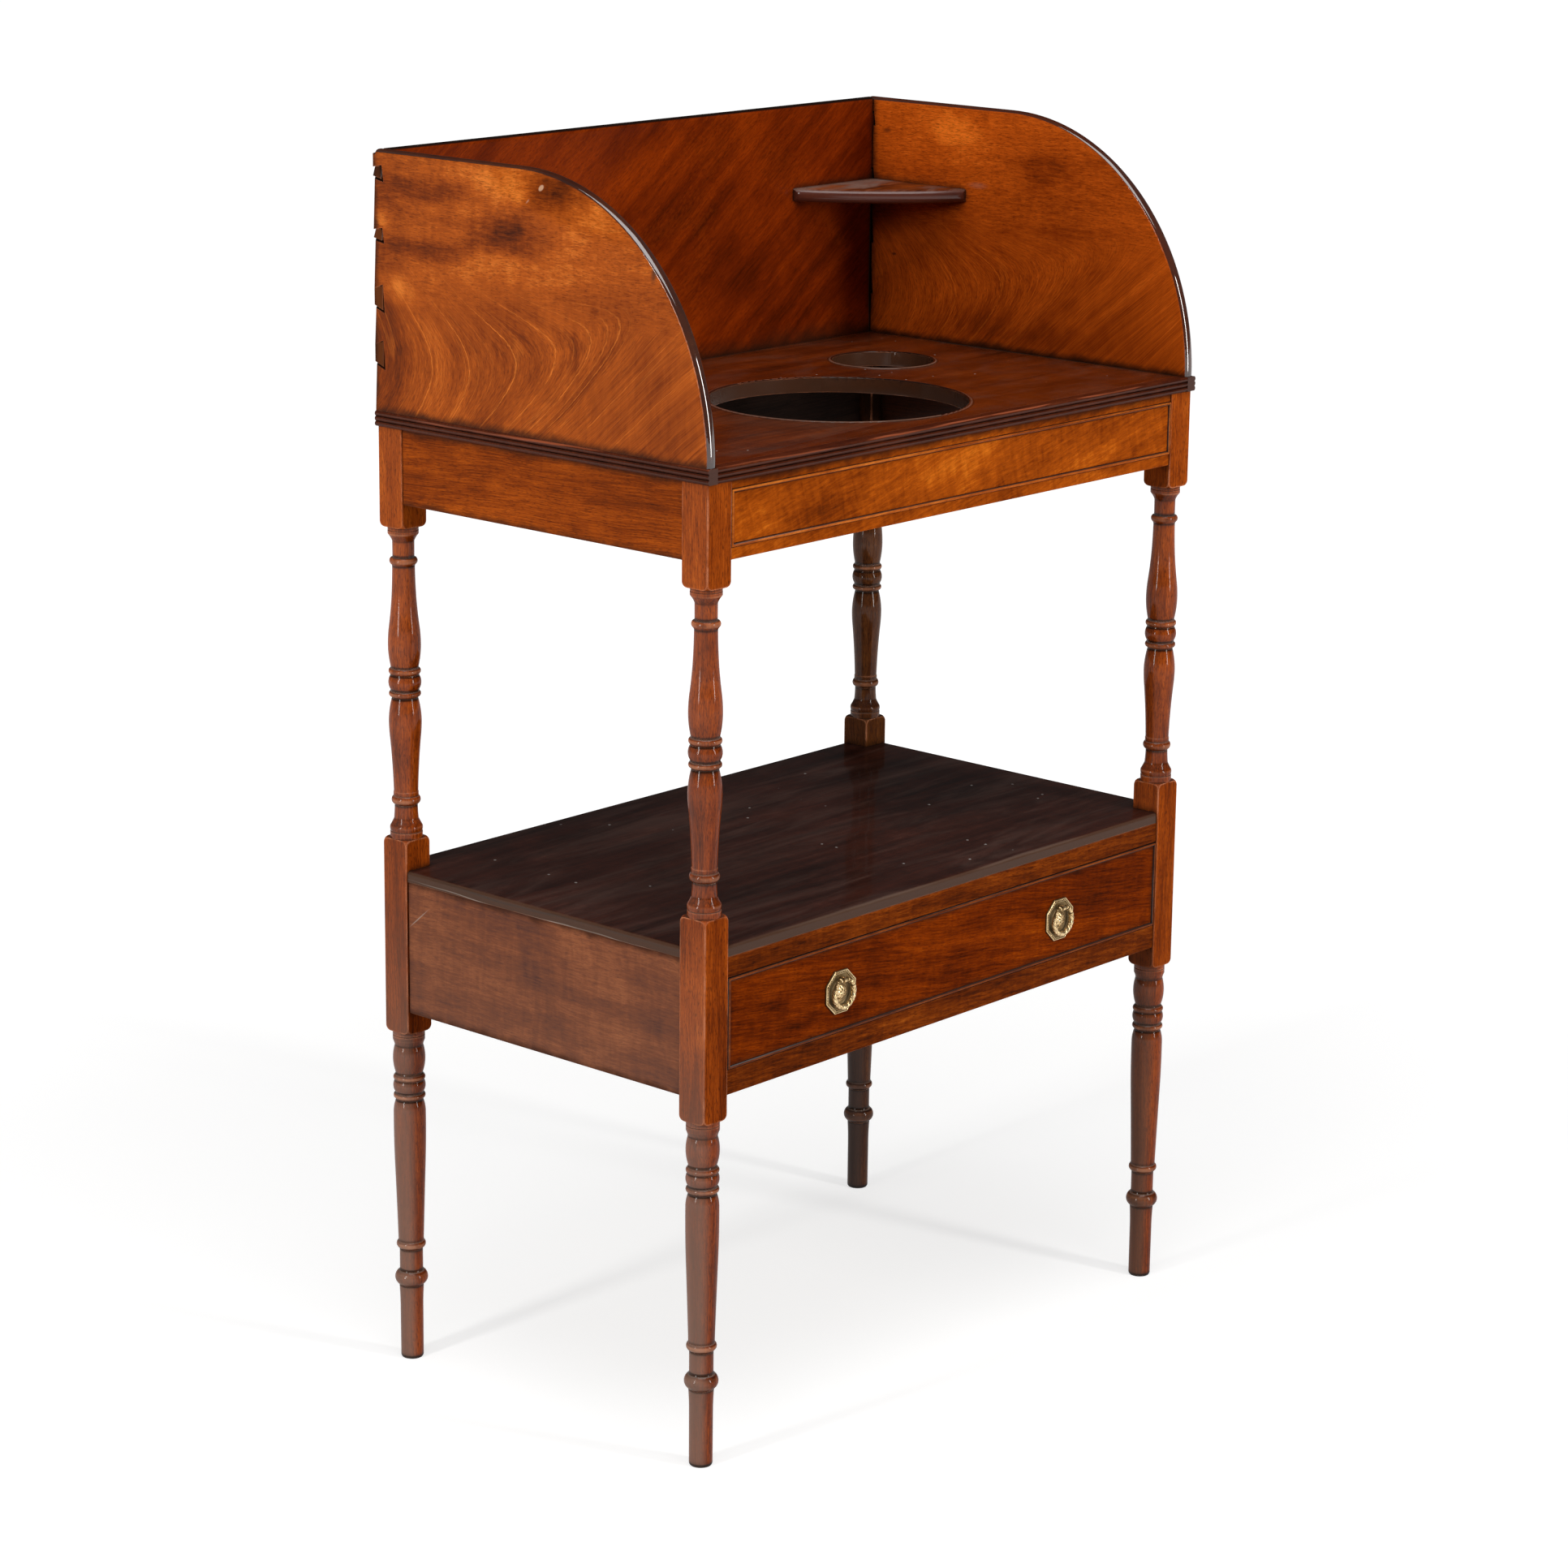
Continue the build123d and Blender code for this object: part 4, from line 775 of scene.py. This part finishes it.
for number, (node, (wood, ease, body, slot)) in enumerate(single):
    if wood in woods:
        look = dict(woods[wood], shift=[step * number for step in cutStep])
        wood = mahogany(node + "_mahogany", look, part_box(node))
    easedBoard(node, wood, ease, body, boardSizes, shelfRim if node == "shelf_board" else None)

# the pieces that keep their CAD solids
plain = [("drawer_" + kind + side, pineDeep) for kind in ("runner", "guide", "kicker")
         for side in ("_left", "_right")]
plain += [(node, pine) for node in ("drawer_stops", "glue_blocks", "gallery_dowels")]
plain += [("pull_" + kind + side, brass) for kind in ("nut", "pin") for side in ("_left", "_right")]
for node, material in plain:
    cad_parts[node].material_slots[0].material = material
print("boards dressed")


# turned posts

postSizes = {
    "side": 0.0265, "legLength": 0.285, "caseBlock": 0.163, "supportLength": 0.255, "pommel": 0.0045,
    "pinRadius": 0.004, "sideSteps": 9, "cornerSteps": 7, "plainCorner": radians(27),
    "widestCorner": radians(44.9), "arrisShare": 1.385, "pommelShare": 1.13,
    "step": 0.0016, "curveStep": 0.0009, "curveSteps": (6, 24),
    "near": 0.0008, "busy": 0.005,     # what the dirt, dust, wear, painted shade and painted highlight feel for round each ring of points
    "smooth": radians(30),
    # in millimetres from the bottom up: upper end, radius there, radius half way up
    "legToe": 8.4,
    "leg": (
        (2.0, 9.35, 9.1), (47.0, 9.45, None), (62.5, 10.05, 9.65), (64.5, 10.2, None), (76.6, 10.2, 13.6),
        (78.2, 9.6, None), (95.8, 9.6, None), (96.4, 10.0, None), (102.6, 10.6, 12.1), (104.0, 10.45, None),
        (165.0, 12.4, 11.38), (215.0, 13.2, 13.1), (225.3, 11.2, 12.65), (226.4, 11.2, None),
        (231.2, 11.7, 13.15), (232.2, 11.7, None), (241.9, 12.2, 13.24), (242.6, 12.2, None),
        (246.6, 12.0, 13.15), (248.4, 11.1, None), (272.3, 11.6, 13.24), (277.0, 13.15, 12.2),
        (280.8, 13.15, None), (281.2, 12.7, None), (281.6, 13.15, None), (285.0, 13.15, None)),
    "supportToe": 13.1,
    "support": (
        (4.8, 13.15, None), (5.2, 12.6, None), (9.6, 13.1, 13.24), (15.8, 9.95, 11.4), (27.4, 9.3, 9.5),
        (27.8, 9.9, None), (34.2, 10.5, 11.75), (34.6, 10.2, None), (37.8, 10.15, None), (38.2, 9.85, None),
        (82.0, 12.4, 10.75), (96.5, 13.24, 13.0), (115.3, 10.6, 12.5), (116.2, 10.6, None),
        (120.9, 11.6, 12.95), (122.4, 11.6, None), (133.6, 11.7, 13.24), (134.8, 11.6, None),
        (139.8, 11.4, 13.0), (141.0, 11.25, None), (158.0, 13.24, 12.7), (174.0, 12.22, 13.0),
        (198.0, 9.9, 10.85), (221.8, 9.08, 9.35), (224.2, 9.95, 9.25), (224.6, 10.3, None),
        (229.4, 10.2, 11.3), (229.8, 8.75, None), (243.0, 8.83, None), (248.8, 12.3, 10.2),
        (249.2, 12.4, None), (251.6, 12.4, None), (252.0, 12.0, None), (252.4, 12.35, None),
        (255.0, 12.35, None)),
}


def arcPoints(first, middle, last, steps):
    (ax, ay), (bx, by), (cx, cy) = first, middle, last
    d = 2 * (ax * (by - cy) + bx * (cy - ay) + cx * (ay - by))
    a2, b2, c2 = ax * ax + ay * ay, bx * bx + by * by, cx * cx + cy * cy
    ox = (a2 * (by - cy) + b2 * (cy - ay) + c2 * (ay - by)) / d
    oy = (a2 * (cx - bx) + b2 * (ax - cx) + c2 * (bx - ax)) / d
    radius = hypot(ax - ox, ay - oy)
    start, end = atan2(ay - oy, ax - ox), atan2(cy - oy, cx - ox)
    half = atan2(by - oy, bx - ox)
    sweep = (end - start) % tau
    if (half - start) % tau > sweep:
        sweep -= tau
    return [(ox + radius * cos(start + sweep * i / steps), oy + radius * sin(start + sweep * i / steps))
            for i in range(1, steps + 1)]


def turnedRings(zLow, toe, members, sizes):
    fewest, most = sizes["curveSteps"]
    radius, z = toe / 1000, zLow
    rings = [(radius, z)]
    for top, end, middle in members:
        zEnd, radiusEnd = zLow + top / 1000, end / 1000
        if middle is None:
            steps = max(1, round((zEnd - z) / sizes["step"]))
            rings += [(radius + (radiusEnd - radius) * i / steps, z + (zEnd - z) * i / steps)
                      for i in range(1, steps + 1)]
        else:
            steps = max(fewest, min(most, round((zEnd - z) / sizes["curveStep"])))
            rings += arcPoints((radius, z), (middle / 1000, (z + zEnd) / 2), (radiusEnd, zEnd), steps)
        radius, z = radiusEnd, zEnd
    return rings


def ringCorners(reach, half, squared, sizes):
    corner = acos(min(1, half / reach)) if squared else sizes["plainCorner"]
    corner = min(corner, sizes["widestCorner"])
    points = []
    for quarter in range(4):
        turn = quarter * pi / 2
        for i in range(sizes["sideSteps"]):
            angle = -corner + 2 * corner * i / sizes["sideSteps"]
            radius = half / cos(angle) if squared else reach
            points.append((radius * cos(angle + turn), radius * sin(angle + turn)))
        for i in range(sizes["cornerSteps"]):
            angle = corner + (pi / 2 - 2 * corner) * i / sizes["cornerSteps"]
            points.append((reach * cos(angle + turn), reach * sin(angle + turn)))
    return points


def blockRings(zLow, zHigh, roundedAbove, sizes):
    half = sizes["side"] / 2
    arris, end, rise = sizes["arrisShare"] * half, sizes["pommelShare"] * half, sizes["pommel"]
    bow = [(end + (arris - end) * sin(a), rise * (1 - cos(a))) for a in (i * pi / 16 for i in range(9))]
    rings = [(reach, zLow + up) for reach, up in bow]
    if roundedAbove:
        rings += [(reach, zHigh - up) for reach, up in reversed(bow)]
    else:
        rings.append((arris, zHigh))
    return rings


def turningMarks(rings, half, sizes):
    # how hollow each ring is against its surroundings, and how busy the turning is there
    near, busiest = sizes["near"], sizes["busy"]

    def radiusAt(height):
        for (r1, z1, s1), (r2, z2, s2) in zip(rings, rings[1:]):
            if z1 <= height <= z2 and z2 > z1:
                first, last = (half if s1 else r1), (half if s2 else r2)
                return first + (last - first) * (height - z1) / (z2 - z1)
        return half

    hollows, turnings = [], []
    for r, z, squared in rings:
        own = half if squared else r
        around = [radiusAt(z + step * near) for step in range(-4, 5)]
        hollows.append(0.0 if squared else max(-1, min(1, (sum(around) / len(around) - own) / near)))
        busy = sum(abs(a - b) for a, b in zip(around, around[1:]))
        turnings.append(0.0 if squared else min(1, busy / busiest))
    return hollows, turnings


def loft(shape, loops, closeEnds=False, closeLoop=False):
    rings = [[shape.verts.new(point) for point in loop] for loop in loops]
    pairs = list(zip(rings, rings[1:])) + ([(rings[-1], rings[0])] if closeLoop else [])
    for lower, upper in pairs:
        for i in range(len(lower)):
            j = (i + 1) % len(lower)
            shape.faces.new((lower[i], lower[j], upper[j], upper[i]))
    if closeEnds:
        shape.faces.new(list(reversed(rings[0])))
        shape.faces.new(rings[-1])


def turnedPost(node, material, sizes):
    low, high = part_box(node)
    half = sizes["side"] / 2
    x, y = (low.x + high.x) / 2, (low.y + high.y) / 2
    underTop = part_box("top_board")[0].z
    shelfBlock = sizes["legLength"] + sizes["caseBlock"]
    friezeBlock = shelfBlock + sizes["supportLength"]
    leg = turnedRings(0, sizes["legToe"], sizes["leg"], sizes)
    support = turnedRings(shelfBlock, sizes["supportToe"], sizes["support"], sizes)
    rings = [(r, z, False) for r, z in leg]
    rings += [(r, z, True) for r, z in blockRings(sizes["legLength"], shelfBlock, True, sizes)]
    rings += [(r, z, False) for r, z in support]
    rings += [(r, z, True) for r, z in blockRings(friezeBlock, underTop, False, sizes)]
    rings += [(sizes["pinRadius"], underTop, False), (sizes["pinRadius"], high.z, False)]
    hollows, turnings = turningMarks(rings, half, sizes)
    loops = [[(x + px, y + py, z) for px, py in ringCorners(r, half, squared, sizes)]
             for r, z, squared in rings]
    shape = bmesh.new()
    loft(shape, loops, closeEnds=True)
    mesh = bpy.data.meshes.new(node + "_turned")
    smoothMesh(shape, mesh, sizes["smooth"])
    lathes = [0.0 if squared else 1.0 for r, z, squared in rings]
    for name, values in (("hollow", hollows), ("turning", turnings), ("lathe", lathes)):
        marks = mesh.attributes.new(name, "FLOAT", "POINT")
        marks.data.foreach_set("value", [value for value in values for _ in loops[0]])
    addPiece(node + "_turned", mesh, material, "stand", node)


posts = {"post_front_left": "post", "post_front_right": "postRight", "post_back_left": "post",
         "post_back_right": "postShade"}
for number, (node, wood) in enumerate(posts.items()):
    look = dict(woods[wood], shift=[step * number for step in cutStep])
    turnedPost(node, mahogany(node + "_mahogany", look), postSizes)
print("posts turned")


# ring pulls

pullSizes = {
    # millimetres: u to the right, v up, w out of the drawer front, from the middle of the plate
    "corner": radians(22.5), "around": 160,
    # the plate's rings: o is eight-sided, c is round, then reach and height
    "plate": (
        ("o", 17.5, 0.0), ("o", 17.5, 1.15), ("o", 17.3, 1.45), ("o", 17.0, 1.6), ("o", 16.75, 1.6),
        ("o", 16.5, 1.45), ("o", 16.4, 1.15), ("o", 15.5, 1.15), ("o", 15.4, 1.45), ("o", 15.25, 1.6),
        ("o", 15.05, 1.6), ("o", 14.8, 1.4), ("o", 14.6, 1.0), ("o", 14.2, 0.9), ("c", 12.4, 0.88),
        ("c", 10.5, 0.95), ("c", 10.1, 0.92), ("c", 9.8, 0.75), ("c", 8.8, 0.66), ("c", 7.0, 0.6),
        ("c", 5.0, 0.6), ("c", 2.1, 0.6), ("c", 2.1, 0.0)),
    "borderReach": 14.9, "dishReach": 9.9,
    "lugFoot": 0.9, "lugEdge": 0.35, "lugEnd": 0.9,
    "pips": 48, "pipReach": 15.95, "pipSize": (0.76, 0.36, 0.34), "pipDepth": 1.18,
    "ringAbove": -0.5, "ringOut": 4.4, "ringRadius": 11.4, "wire": 1.68, "relief": 0.60,
    "slotTurn": radians(11.4), "ringSteps": 420, "wireSteps": 36, "taperLength": 0.8, "taper": 0.20,
    # how far from the lug each kind of ornament on the ring goes, and where its flower sits
    "wreath": [radians(a) for a in (38, 66, 122, 168)], "flowerAt": radians(52),
    "bossRadius": 6.35, "bossRise": 2.05, "bossFoot": 0.66, "bossEdge": 0.95, "domeFoot": 1.3,
    "petals": 8, "petalRise": 0.36, "petalsFrom": 3.3, "budFrom": 0.9, "bossAround": 120, "bossSteps": 30,
    "shankRadius": 2.0, "shankEnd": -22.4, "lugHalf": 1.6, "lugRadius": 2.3, "pinAbove": 10.17,
    "smooth": radians(38),
}


def flatReach(angle, corner):
    # how far the edge of a regular eight-sided plate is, against its half width over the flats
    return 1 / cos((angle + corner) % (2 * corner) - corner)


def pipTree(material):
    # small cast pips, one on each place of the plate's border, turned along it
    tree = bpy.data.node_groups.new("borderPips", "GeometryNodeTree")
    for name in ("Geometry", "Length", "Width", "Height"):
        kind = "Geometry" if name == "Geometry" else "Float"
        tree.interface.new_socket(name, in_out="INPUT", socket_type="NodeSocket" + kind)
    tree.interface.new_socket("Geometry", in_out="OUTPUT", socket_type="NodeSocketGeometry")

    inside = addNode(tree, "NodeGroupInput").outputs
    pip = addNode(tree, "GeometryNodeMeshIcoSphere", {"Subdivisions": 2, "Radius": 1.0}).outputs["Mesh"]
    size = addNode(tree, "CombineXYZ", {"X": inside["Length"], "Y": inside["Height"], "Z": inside["Width"]})
    shaped = addNode(tree, "GeometryNodeTransform", {"Geometry": pip, "Scale": size.outputs[0]})
    turn = addNode(tree, "GeometryNodeInputNamedAttribute", {"Name": "turn"}, data_type="FLOAT")
    spin = addNode(tree, "CombineXYZ", {"Y": turn.outputs["Attribute"]})
    made = addNode(tree, "GeometryNodeInstanceOnPoints", {
        "Points": inside["Geometry"], "Instance": shaped.outputs[0], "Rotation": spin.outputs[0]})
    for kind in ("RealizeInstances", "SetShadeSmooth", "SetMaterial"):
        made = addNode(tree, "GeometryNode" + kind, {"Geometry": made.outputs[0]})
    made.inputs["Material"].default_value = material
    addNode(tree, "NodeGroupOutput", {"Geometry": made.outputs[0]})
    return tree


def borderPips(tree, middle, sizes):
    # the places as a mesh of points, then the tree makes a plain mesh of them
    across = 2 * sizes["pipReach"] * tan(sizes["corner"])
    each = sizes["pips"] // 8
    places, turns = [], []
    for side in range(8):
        a = 2 * sizes["corner"] * side
        for i in range(each):
            along = across * ((i + 0.5) / each - 0.5)
            u = sizes["pipReach"] * cos(a) - along * sin(a)
            v = sizes["pipReach"] * sin(a) + along * cos(a)
            places.append(middle + Vector((u, -sizes["pipDepth"], v)) / 1000)
            turns.append(-(a + pi / 2))
    mesh = bpy.data.meshes.new("pipPlaces")
    mesh.from_pydata(places, [], [])
    mesh.attributes.new("turn", "FLOAT", "POINT").data.foreach_set("value", turns)
    holder = bpy.data.objects.new("pips", mesh)
    bpy.context.scene.collection.objects.link(holder)
    modifier = holder.modifiers.new("pips", "NODES")
    modifier.node_group = tree
    names = {item.name: item.identifier for item in tree.interface.items_tree if item.in_out == "INPUT"}
    for name, value in zip(("Length", "Width", "Height"), sizes["pipSize"]):
        modifier[names[name]] = value / 1000
    graph = bpy.context.evaluated_depsgraph_get()
    made = bpy.data.meshes.new_from_object(holder.evaluated_get(graph))
    bpy.data.objects.remove(holder)
    return made


def plateMesh(shape, sizes):
    turns = [sizes["corner"] + tau * i / sizes["around"] for i in range(sizes["around"])]
    spreads = {"o": [flatReach(a, sizes["corner"]) for a in turns], "c": [1] * len(turns)}
    loops = [[(reach * cos(a) * k, reach * sin(a) * k, w) for a, k in zip(turns, spreads[kind])]
             for kind, reach, w in sizes["plate"]]
    loft(shape, loops, closeLoop=True)
    # the lug that the ring hangs from
    half, radius, middle = sizes["lugHalf"], sizes["lugRadius"], sizes["pinAbove"]
    out, foot, edge, small = sizes["ringOut"], sizes["lugFoot"], sizes["lugEdge"], sizes["lugEnd"]
    outline = [(middle - radius, foot)]
    outline += [(middle + radius * sin(a), out + radius * cos(a))
                for a in (-pi / 2 + pi * i / 16 for i in range(17))]
    outline.append((middle + radius, foot))
    loft(shape, [[(u, middle + (v - middle) * k, foot + (w - foot) * k) for v, w in outline]
                 for u, k in ((-half, small), (edge - half, 1), (half - edge, 1), (half, small))],
         closeEnds=True)


def flowerRelief(du, dv):
    d, turn = hypot(du, dv), atan2(dv, du)
    if d < 0.75:
        return 1.0 - 0.5 * d
    if d < 2.6:
        band = max(0.0, sin((d - 0.75) / 1.85 * pi))
        return 0.25 + 0.75 * band * (0.35 + 0.65 * abs(cos(2.5 * turn)))
    return 0.15


def ringRelief(a, b, sizes):
    # a wreath: berries under the lug, a flower, ribbed leaves, then a bolder rope of leaves
    far = min(a, tau - a)
    front = (b + pi) % tau - pi
    berries, flower, leaves, rope = sizes["wreath"]
    if far < berries:
        return max(0.0, sin(far * 21)) ** 0.6 * (0.45 + 0.55 * abs(cos(1.6 * front)))
    if far < flower:
        return flowerRelief((far - sizes["flowerAt"]) * 12.0, front * 2.2)
    if far < leaves:
        return 0.15 + 0.85 * abs(sin(far * 8.5 + abs(front) * 1.3)) ** 0.7
    if far < rope:
        return 0.1 + 0.9 * abs(sin(far * 9.5 - front * 1.1)) ** 0.6
    return 0.35 + 0.65 * max(0.0, cos((pi - far) * 7.0))


def ringMesh(shape, sizes):
    steps, radius = sizes["ringSteps"], sizes["ringRadius"]
    start = sizes["slotTurn"]
    loops = []
    for i in range(steps + 1):
        a = start + (tau - 2 * start) * i / steps
        end = min(a - start, tau - start - a) * radius
        taper = 1.0 - sizes["taper"] * (1 - sqrt(min(1.0, end / sizes["taperLength"])))
        loop = []
        for k in range(sizes["wireSteps"]):
            b = tau * k / sizes["wireSteps"]
            wire = (sizes["wire"] + sizes["relief"] * ringRelief(a, b, sizes)) * taper
            reach = radius + wire * sin(b)
            loop.append((reach * sin(a), sizes["ringAbove"] + reach * cos(a),
                         sizes["ringOut"] + wire * cos(b)))
        loops.append(loop)
    loft(shape, loops, closeEnds=True)


def domeHeight(r, sizes):
    return sizes["domeFoot"] + sizes["bossRise"] * (1 - min(1, r / sizes["bossRadius"]) ** 2) ** 0.8


def bossHeight(r, a, sizes):
    # a ring of petals round a small bud
    dome, rise = domeHeight(r, sizes), sizes["petalRise"]
    outer, inner = sizes["petalsFrom"], sizes["budFrom"]
    if r > outer:
        band = sin(pi * (r - outer) / (sizes["bossRadius"] - outer)) ** 0.6
        return dome + rise * band * (1.4 * abs(cos(sizes["petals"] / 2 * a)) ** 0.5 - 0.8)
    if r > inner:
        band = sin(pi * (r - inner) / (outer - inner)) ** 0.6
        return dome + rise * band * (1.6 * abs(cos(2.5 * a + 0.4)) ** 1.5 - 0.9)
    return dome + 0.02


def bossMesh(shape, sizes):
    around, steps, radius = sizes["bossAround"], sizes["bossSteps"], sizes["bossRadius"]
    turns = [tau * i / around for i in range(around)]
    shank, foot = sizes["shankRadius"], sizes["bossFoot"]
    profile = ((shank, sizes["shankEnd"]), (shank, foot), (radius, foot), (radius, sizes["bossEdge"]))
    loops = [[(r * cos(a), r * sin(a), w) for a in turns] for r, w in profile]
    for step in range(1, steps + 1):
        r = radius * (1 - step / (steps + 0.5))
        loops.append([(r * cos(a), r * sin(a), bossHeight(r, a, sizes)) for a in turns])
    loft(shape, loops, closeEnds=True)


def patinaAt(part, u, v, w, sizes):
    # brown stays in the hollows of the casting, from 0 on a crest to 1
    if part == "ring":
        reach = hypot(hypot(u, v - sizes["ringAbove"]) - sizes["ringRadius"], w - sizes["ringOut"])
        return 1 - (reach - sizes["wire"]) / sizes["relief"]
    reach = hypot(u, v)
    if part == "boss":
        return 0.45 + (domeHeight(reach, sizes) - w) / sizes["petalRise"]
    if w > 1.7:
        return 0.2
    if max(abs(u), abs(v), (abs(u) + abs(v)) * sqrt(0.5)) > sizes["borderReach"]:
        return 0.95 if w < 1.3 else 0.05
    return 0.55 if reach < sizes["dishReach"] else 0.85


def pullPiece(part, build, side):
    low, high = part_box("pull_plate_" + side)
    middle = Vector(((low.x + high.x) / 2, high.y, (low.z + high.z) / 2))
    shape = bmesh.new()
    build(shape, pullSizes)
    patina = shape.verts.layers.float.new("patina")
    for vert in shape.verts:
        u, v, w = vert.co
        vert[patina] = max(0.0, min(1.0, patinaAt(part, u, v, w, pullSizes)))
        vert.co = middle + Vector((u, -w, v)) / 1000
    bmesh.ops.recalc_face_normals(shape, faces=shape.faces)
    if part == "plate":
        shape.from_mesh(borderPips(pips, middle, pullSizes))
    mesh = bpy.data.meshes.new("pull_" + part + "_" + side)
    smoothMesh(shape, mesh, pullSizes["smooth"])
    return mesh


pips = pipTree(brass)
for side in ("left", "right"):
    for part, build, body in (("plate", plateMesh, "drawer"), ("boss", bossMesh, "drawer"),
                              ("ring", ringMesh, "ring_" + side)):
        mesh = pullPiece(part, build, side)
        addPiece("pull_" + part + "_" + side + "_cast", mesh, brass, body,
                 "pull_" + part + "_" + side)
print("pulls cast")


# floor, light and camera

studio = {
    "floorSize": 60.0, "floorColour": (0.50, 0.50, 0.50), "world": 0.08,
    "liftNear": 0.68, "liftFar": 1.0, "liftReach": (0.6, 2.6),
    "boxes": (
        # name, place, size, power, colour
        ("boxLeft", (-3.1, 0.15, 1.35), (0.34, 2.0), 52.0, (1.0, 0.99, 0.97)),
        ("boxRight", (0.75, -3.1, 1.35), (0.34, 2.0), 52.0, (1.0, 0.99, 0.97)),
        ("boxAbove", (-0.5, -0.6, 3.4), (2.2, 2.2), 60.0, (1.0, 1.0, 1.0)),
    ),
    "aim": (0.0, 0.0, 0.55),
}


def makeFloor(sizes):
    half = sizes["floorSize"] / 2
    mesh = bpy.data.meshes.new("floor")
    mesh.from_pydata([(-half, -half, 0), (half, -half, 0), (half, half, 0), (-half, half, 0)], [],
                     [(0, 1, 2, 3)])
    material, tree = newMaterial("paleFloor")
    paths = addNode(tree, "LightPath")
    seen = calc(tree, "MAXIMUM", paths.outputs["Is Camera Ray"], paths.outputs["Is Glossy Ray"])
    seen = calc(tree, "MAXIMUM", seen, paths.outputs["Is Transmission Ray"])
    away = vectorCalc(tree, "LENGTH", addNode(tree, "TexCoord").outputs["Object"], output="Value")
    near, far = sizes["liftReach"]
    lift = levels(tree, away, near, far, sizes["liftNear"], sizes["liftFar"])
    plain = addNode(tree, "BsdfDiffuse", {"Color": (*sizes["floorColour"], 1.0)})
    glow = addNode(tree, "Emission", {"Strength": calc(tree, "MULTIPLY", seen, lift)})
    both = addNode(tree, "AddShader", {0: plain.outputs[0], 1: glow.outputs[0]})
    addNode(tree, "OutputMaterial", {"Surface": both.outputs[0]})
    mesh.materials.append(material)
    floor = bpy.data.objects.new("floor", mesh)
    bpy.context.scene.collection.objects.link(floor)


def makeLights(sizes):
    world = bpy.data.worlds.new("studio")
    world.use_nodes = True
    background = world.node_tree.nodes["Background"]
    background.inputs["Color"].default_value = (1.0, 1.0, 1.0, 1.0)
    background.inputs["Strength"].default_value = sizes["world"]
    bpy.context.scene.world = world
    for name, place, size, power, colour in sizes["boxes"]:
        lamp = bpy.data.lights.new(name, "AREA")
        lamp.shape = "RECTANGLE"
        lamp.size, lamp.size_y = size
        lamp.energy = power
        lamp.color = colour
        box = bpy.data.objects.new(name, lamp)
        box.location = place
        box.rotation_euler = (Vector(sizes["aim"]) - Vector(place)).to_track_quat("-Z", "Y").to_euler()
        bpy.context.scene.collection.objects.link(box)


cameraSizes = {"place": (-2.6255, -2.31665, 1.3899), "yaw": 48.443, "pitch": 14.75, "roll": 0.645,
               "lens": 100.46}


def makeCamera(sizes):
    yaw, pitch, roll = (radians(sizes[key]) for key in ("yaw", "pitch", "roll"))
    ahead = Vector((sin(yaw) * cos(pitch), cos(yaw) * cos(pitch), -sin(pitch)))
    level = Vector((cos(yaw), -sin(yaw), 0))
    above = level.cross(ahead)
    right = cos(roll) * level + sin(roll) * above
    up = -sin(roll) * level + cos(roll) * above
    data = bpy.data.cameras.new("camera")
    data.lens = sizes["lens"]
    data.sensor_width = 36
    camera = bpy.data.objects.new("camera", data)
    turned = Matrix((right, up, -ahead)).transposed()
    camera.matrix_world = Matrix.Translation(sizes["place"]) @ turned.to_4x4()
    bpy.context.scene.collection.objects.link(camera)
    bpy.context.scene.camera = camera


makeFloor(studio)
makeLights(studio)
makeCamera(cameraSizes)
bpy.context.scene.view_settings.view_transform = "Standard"
print("studio set")
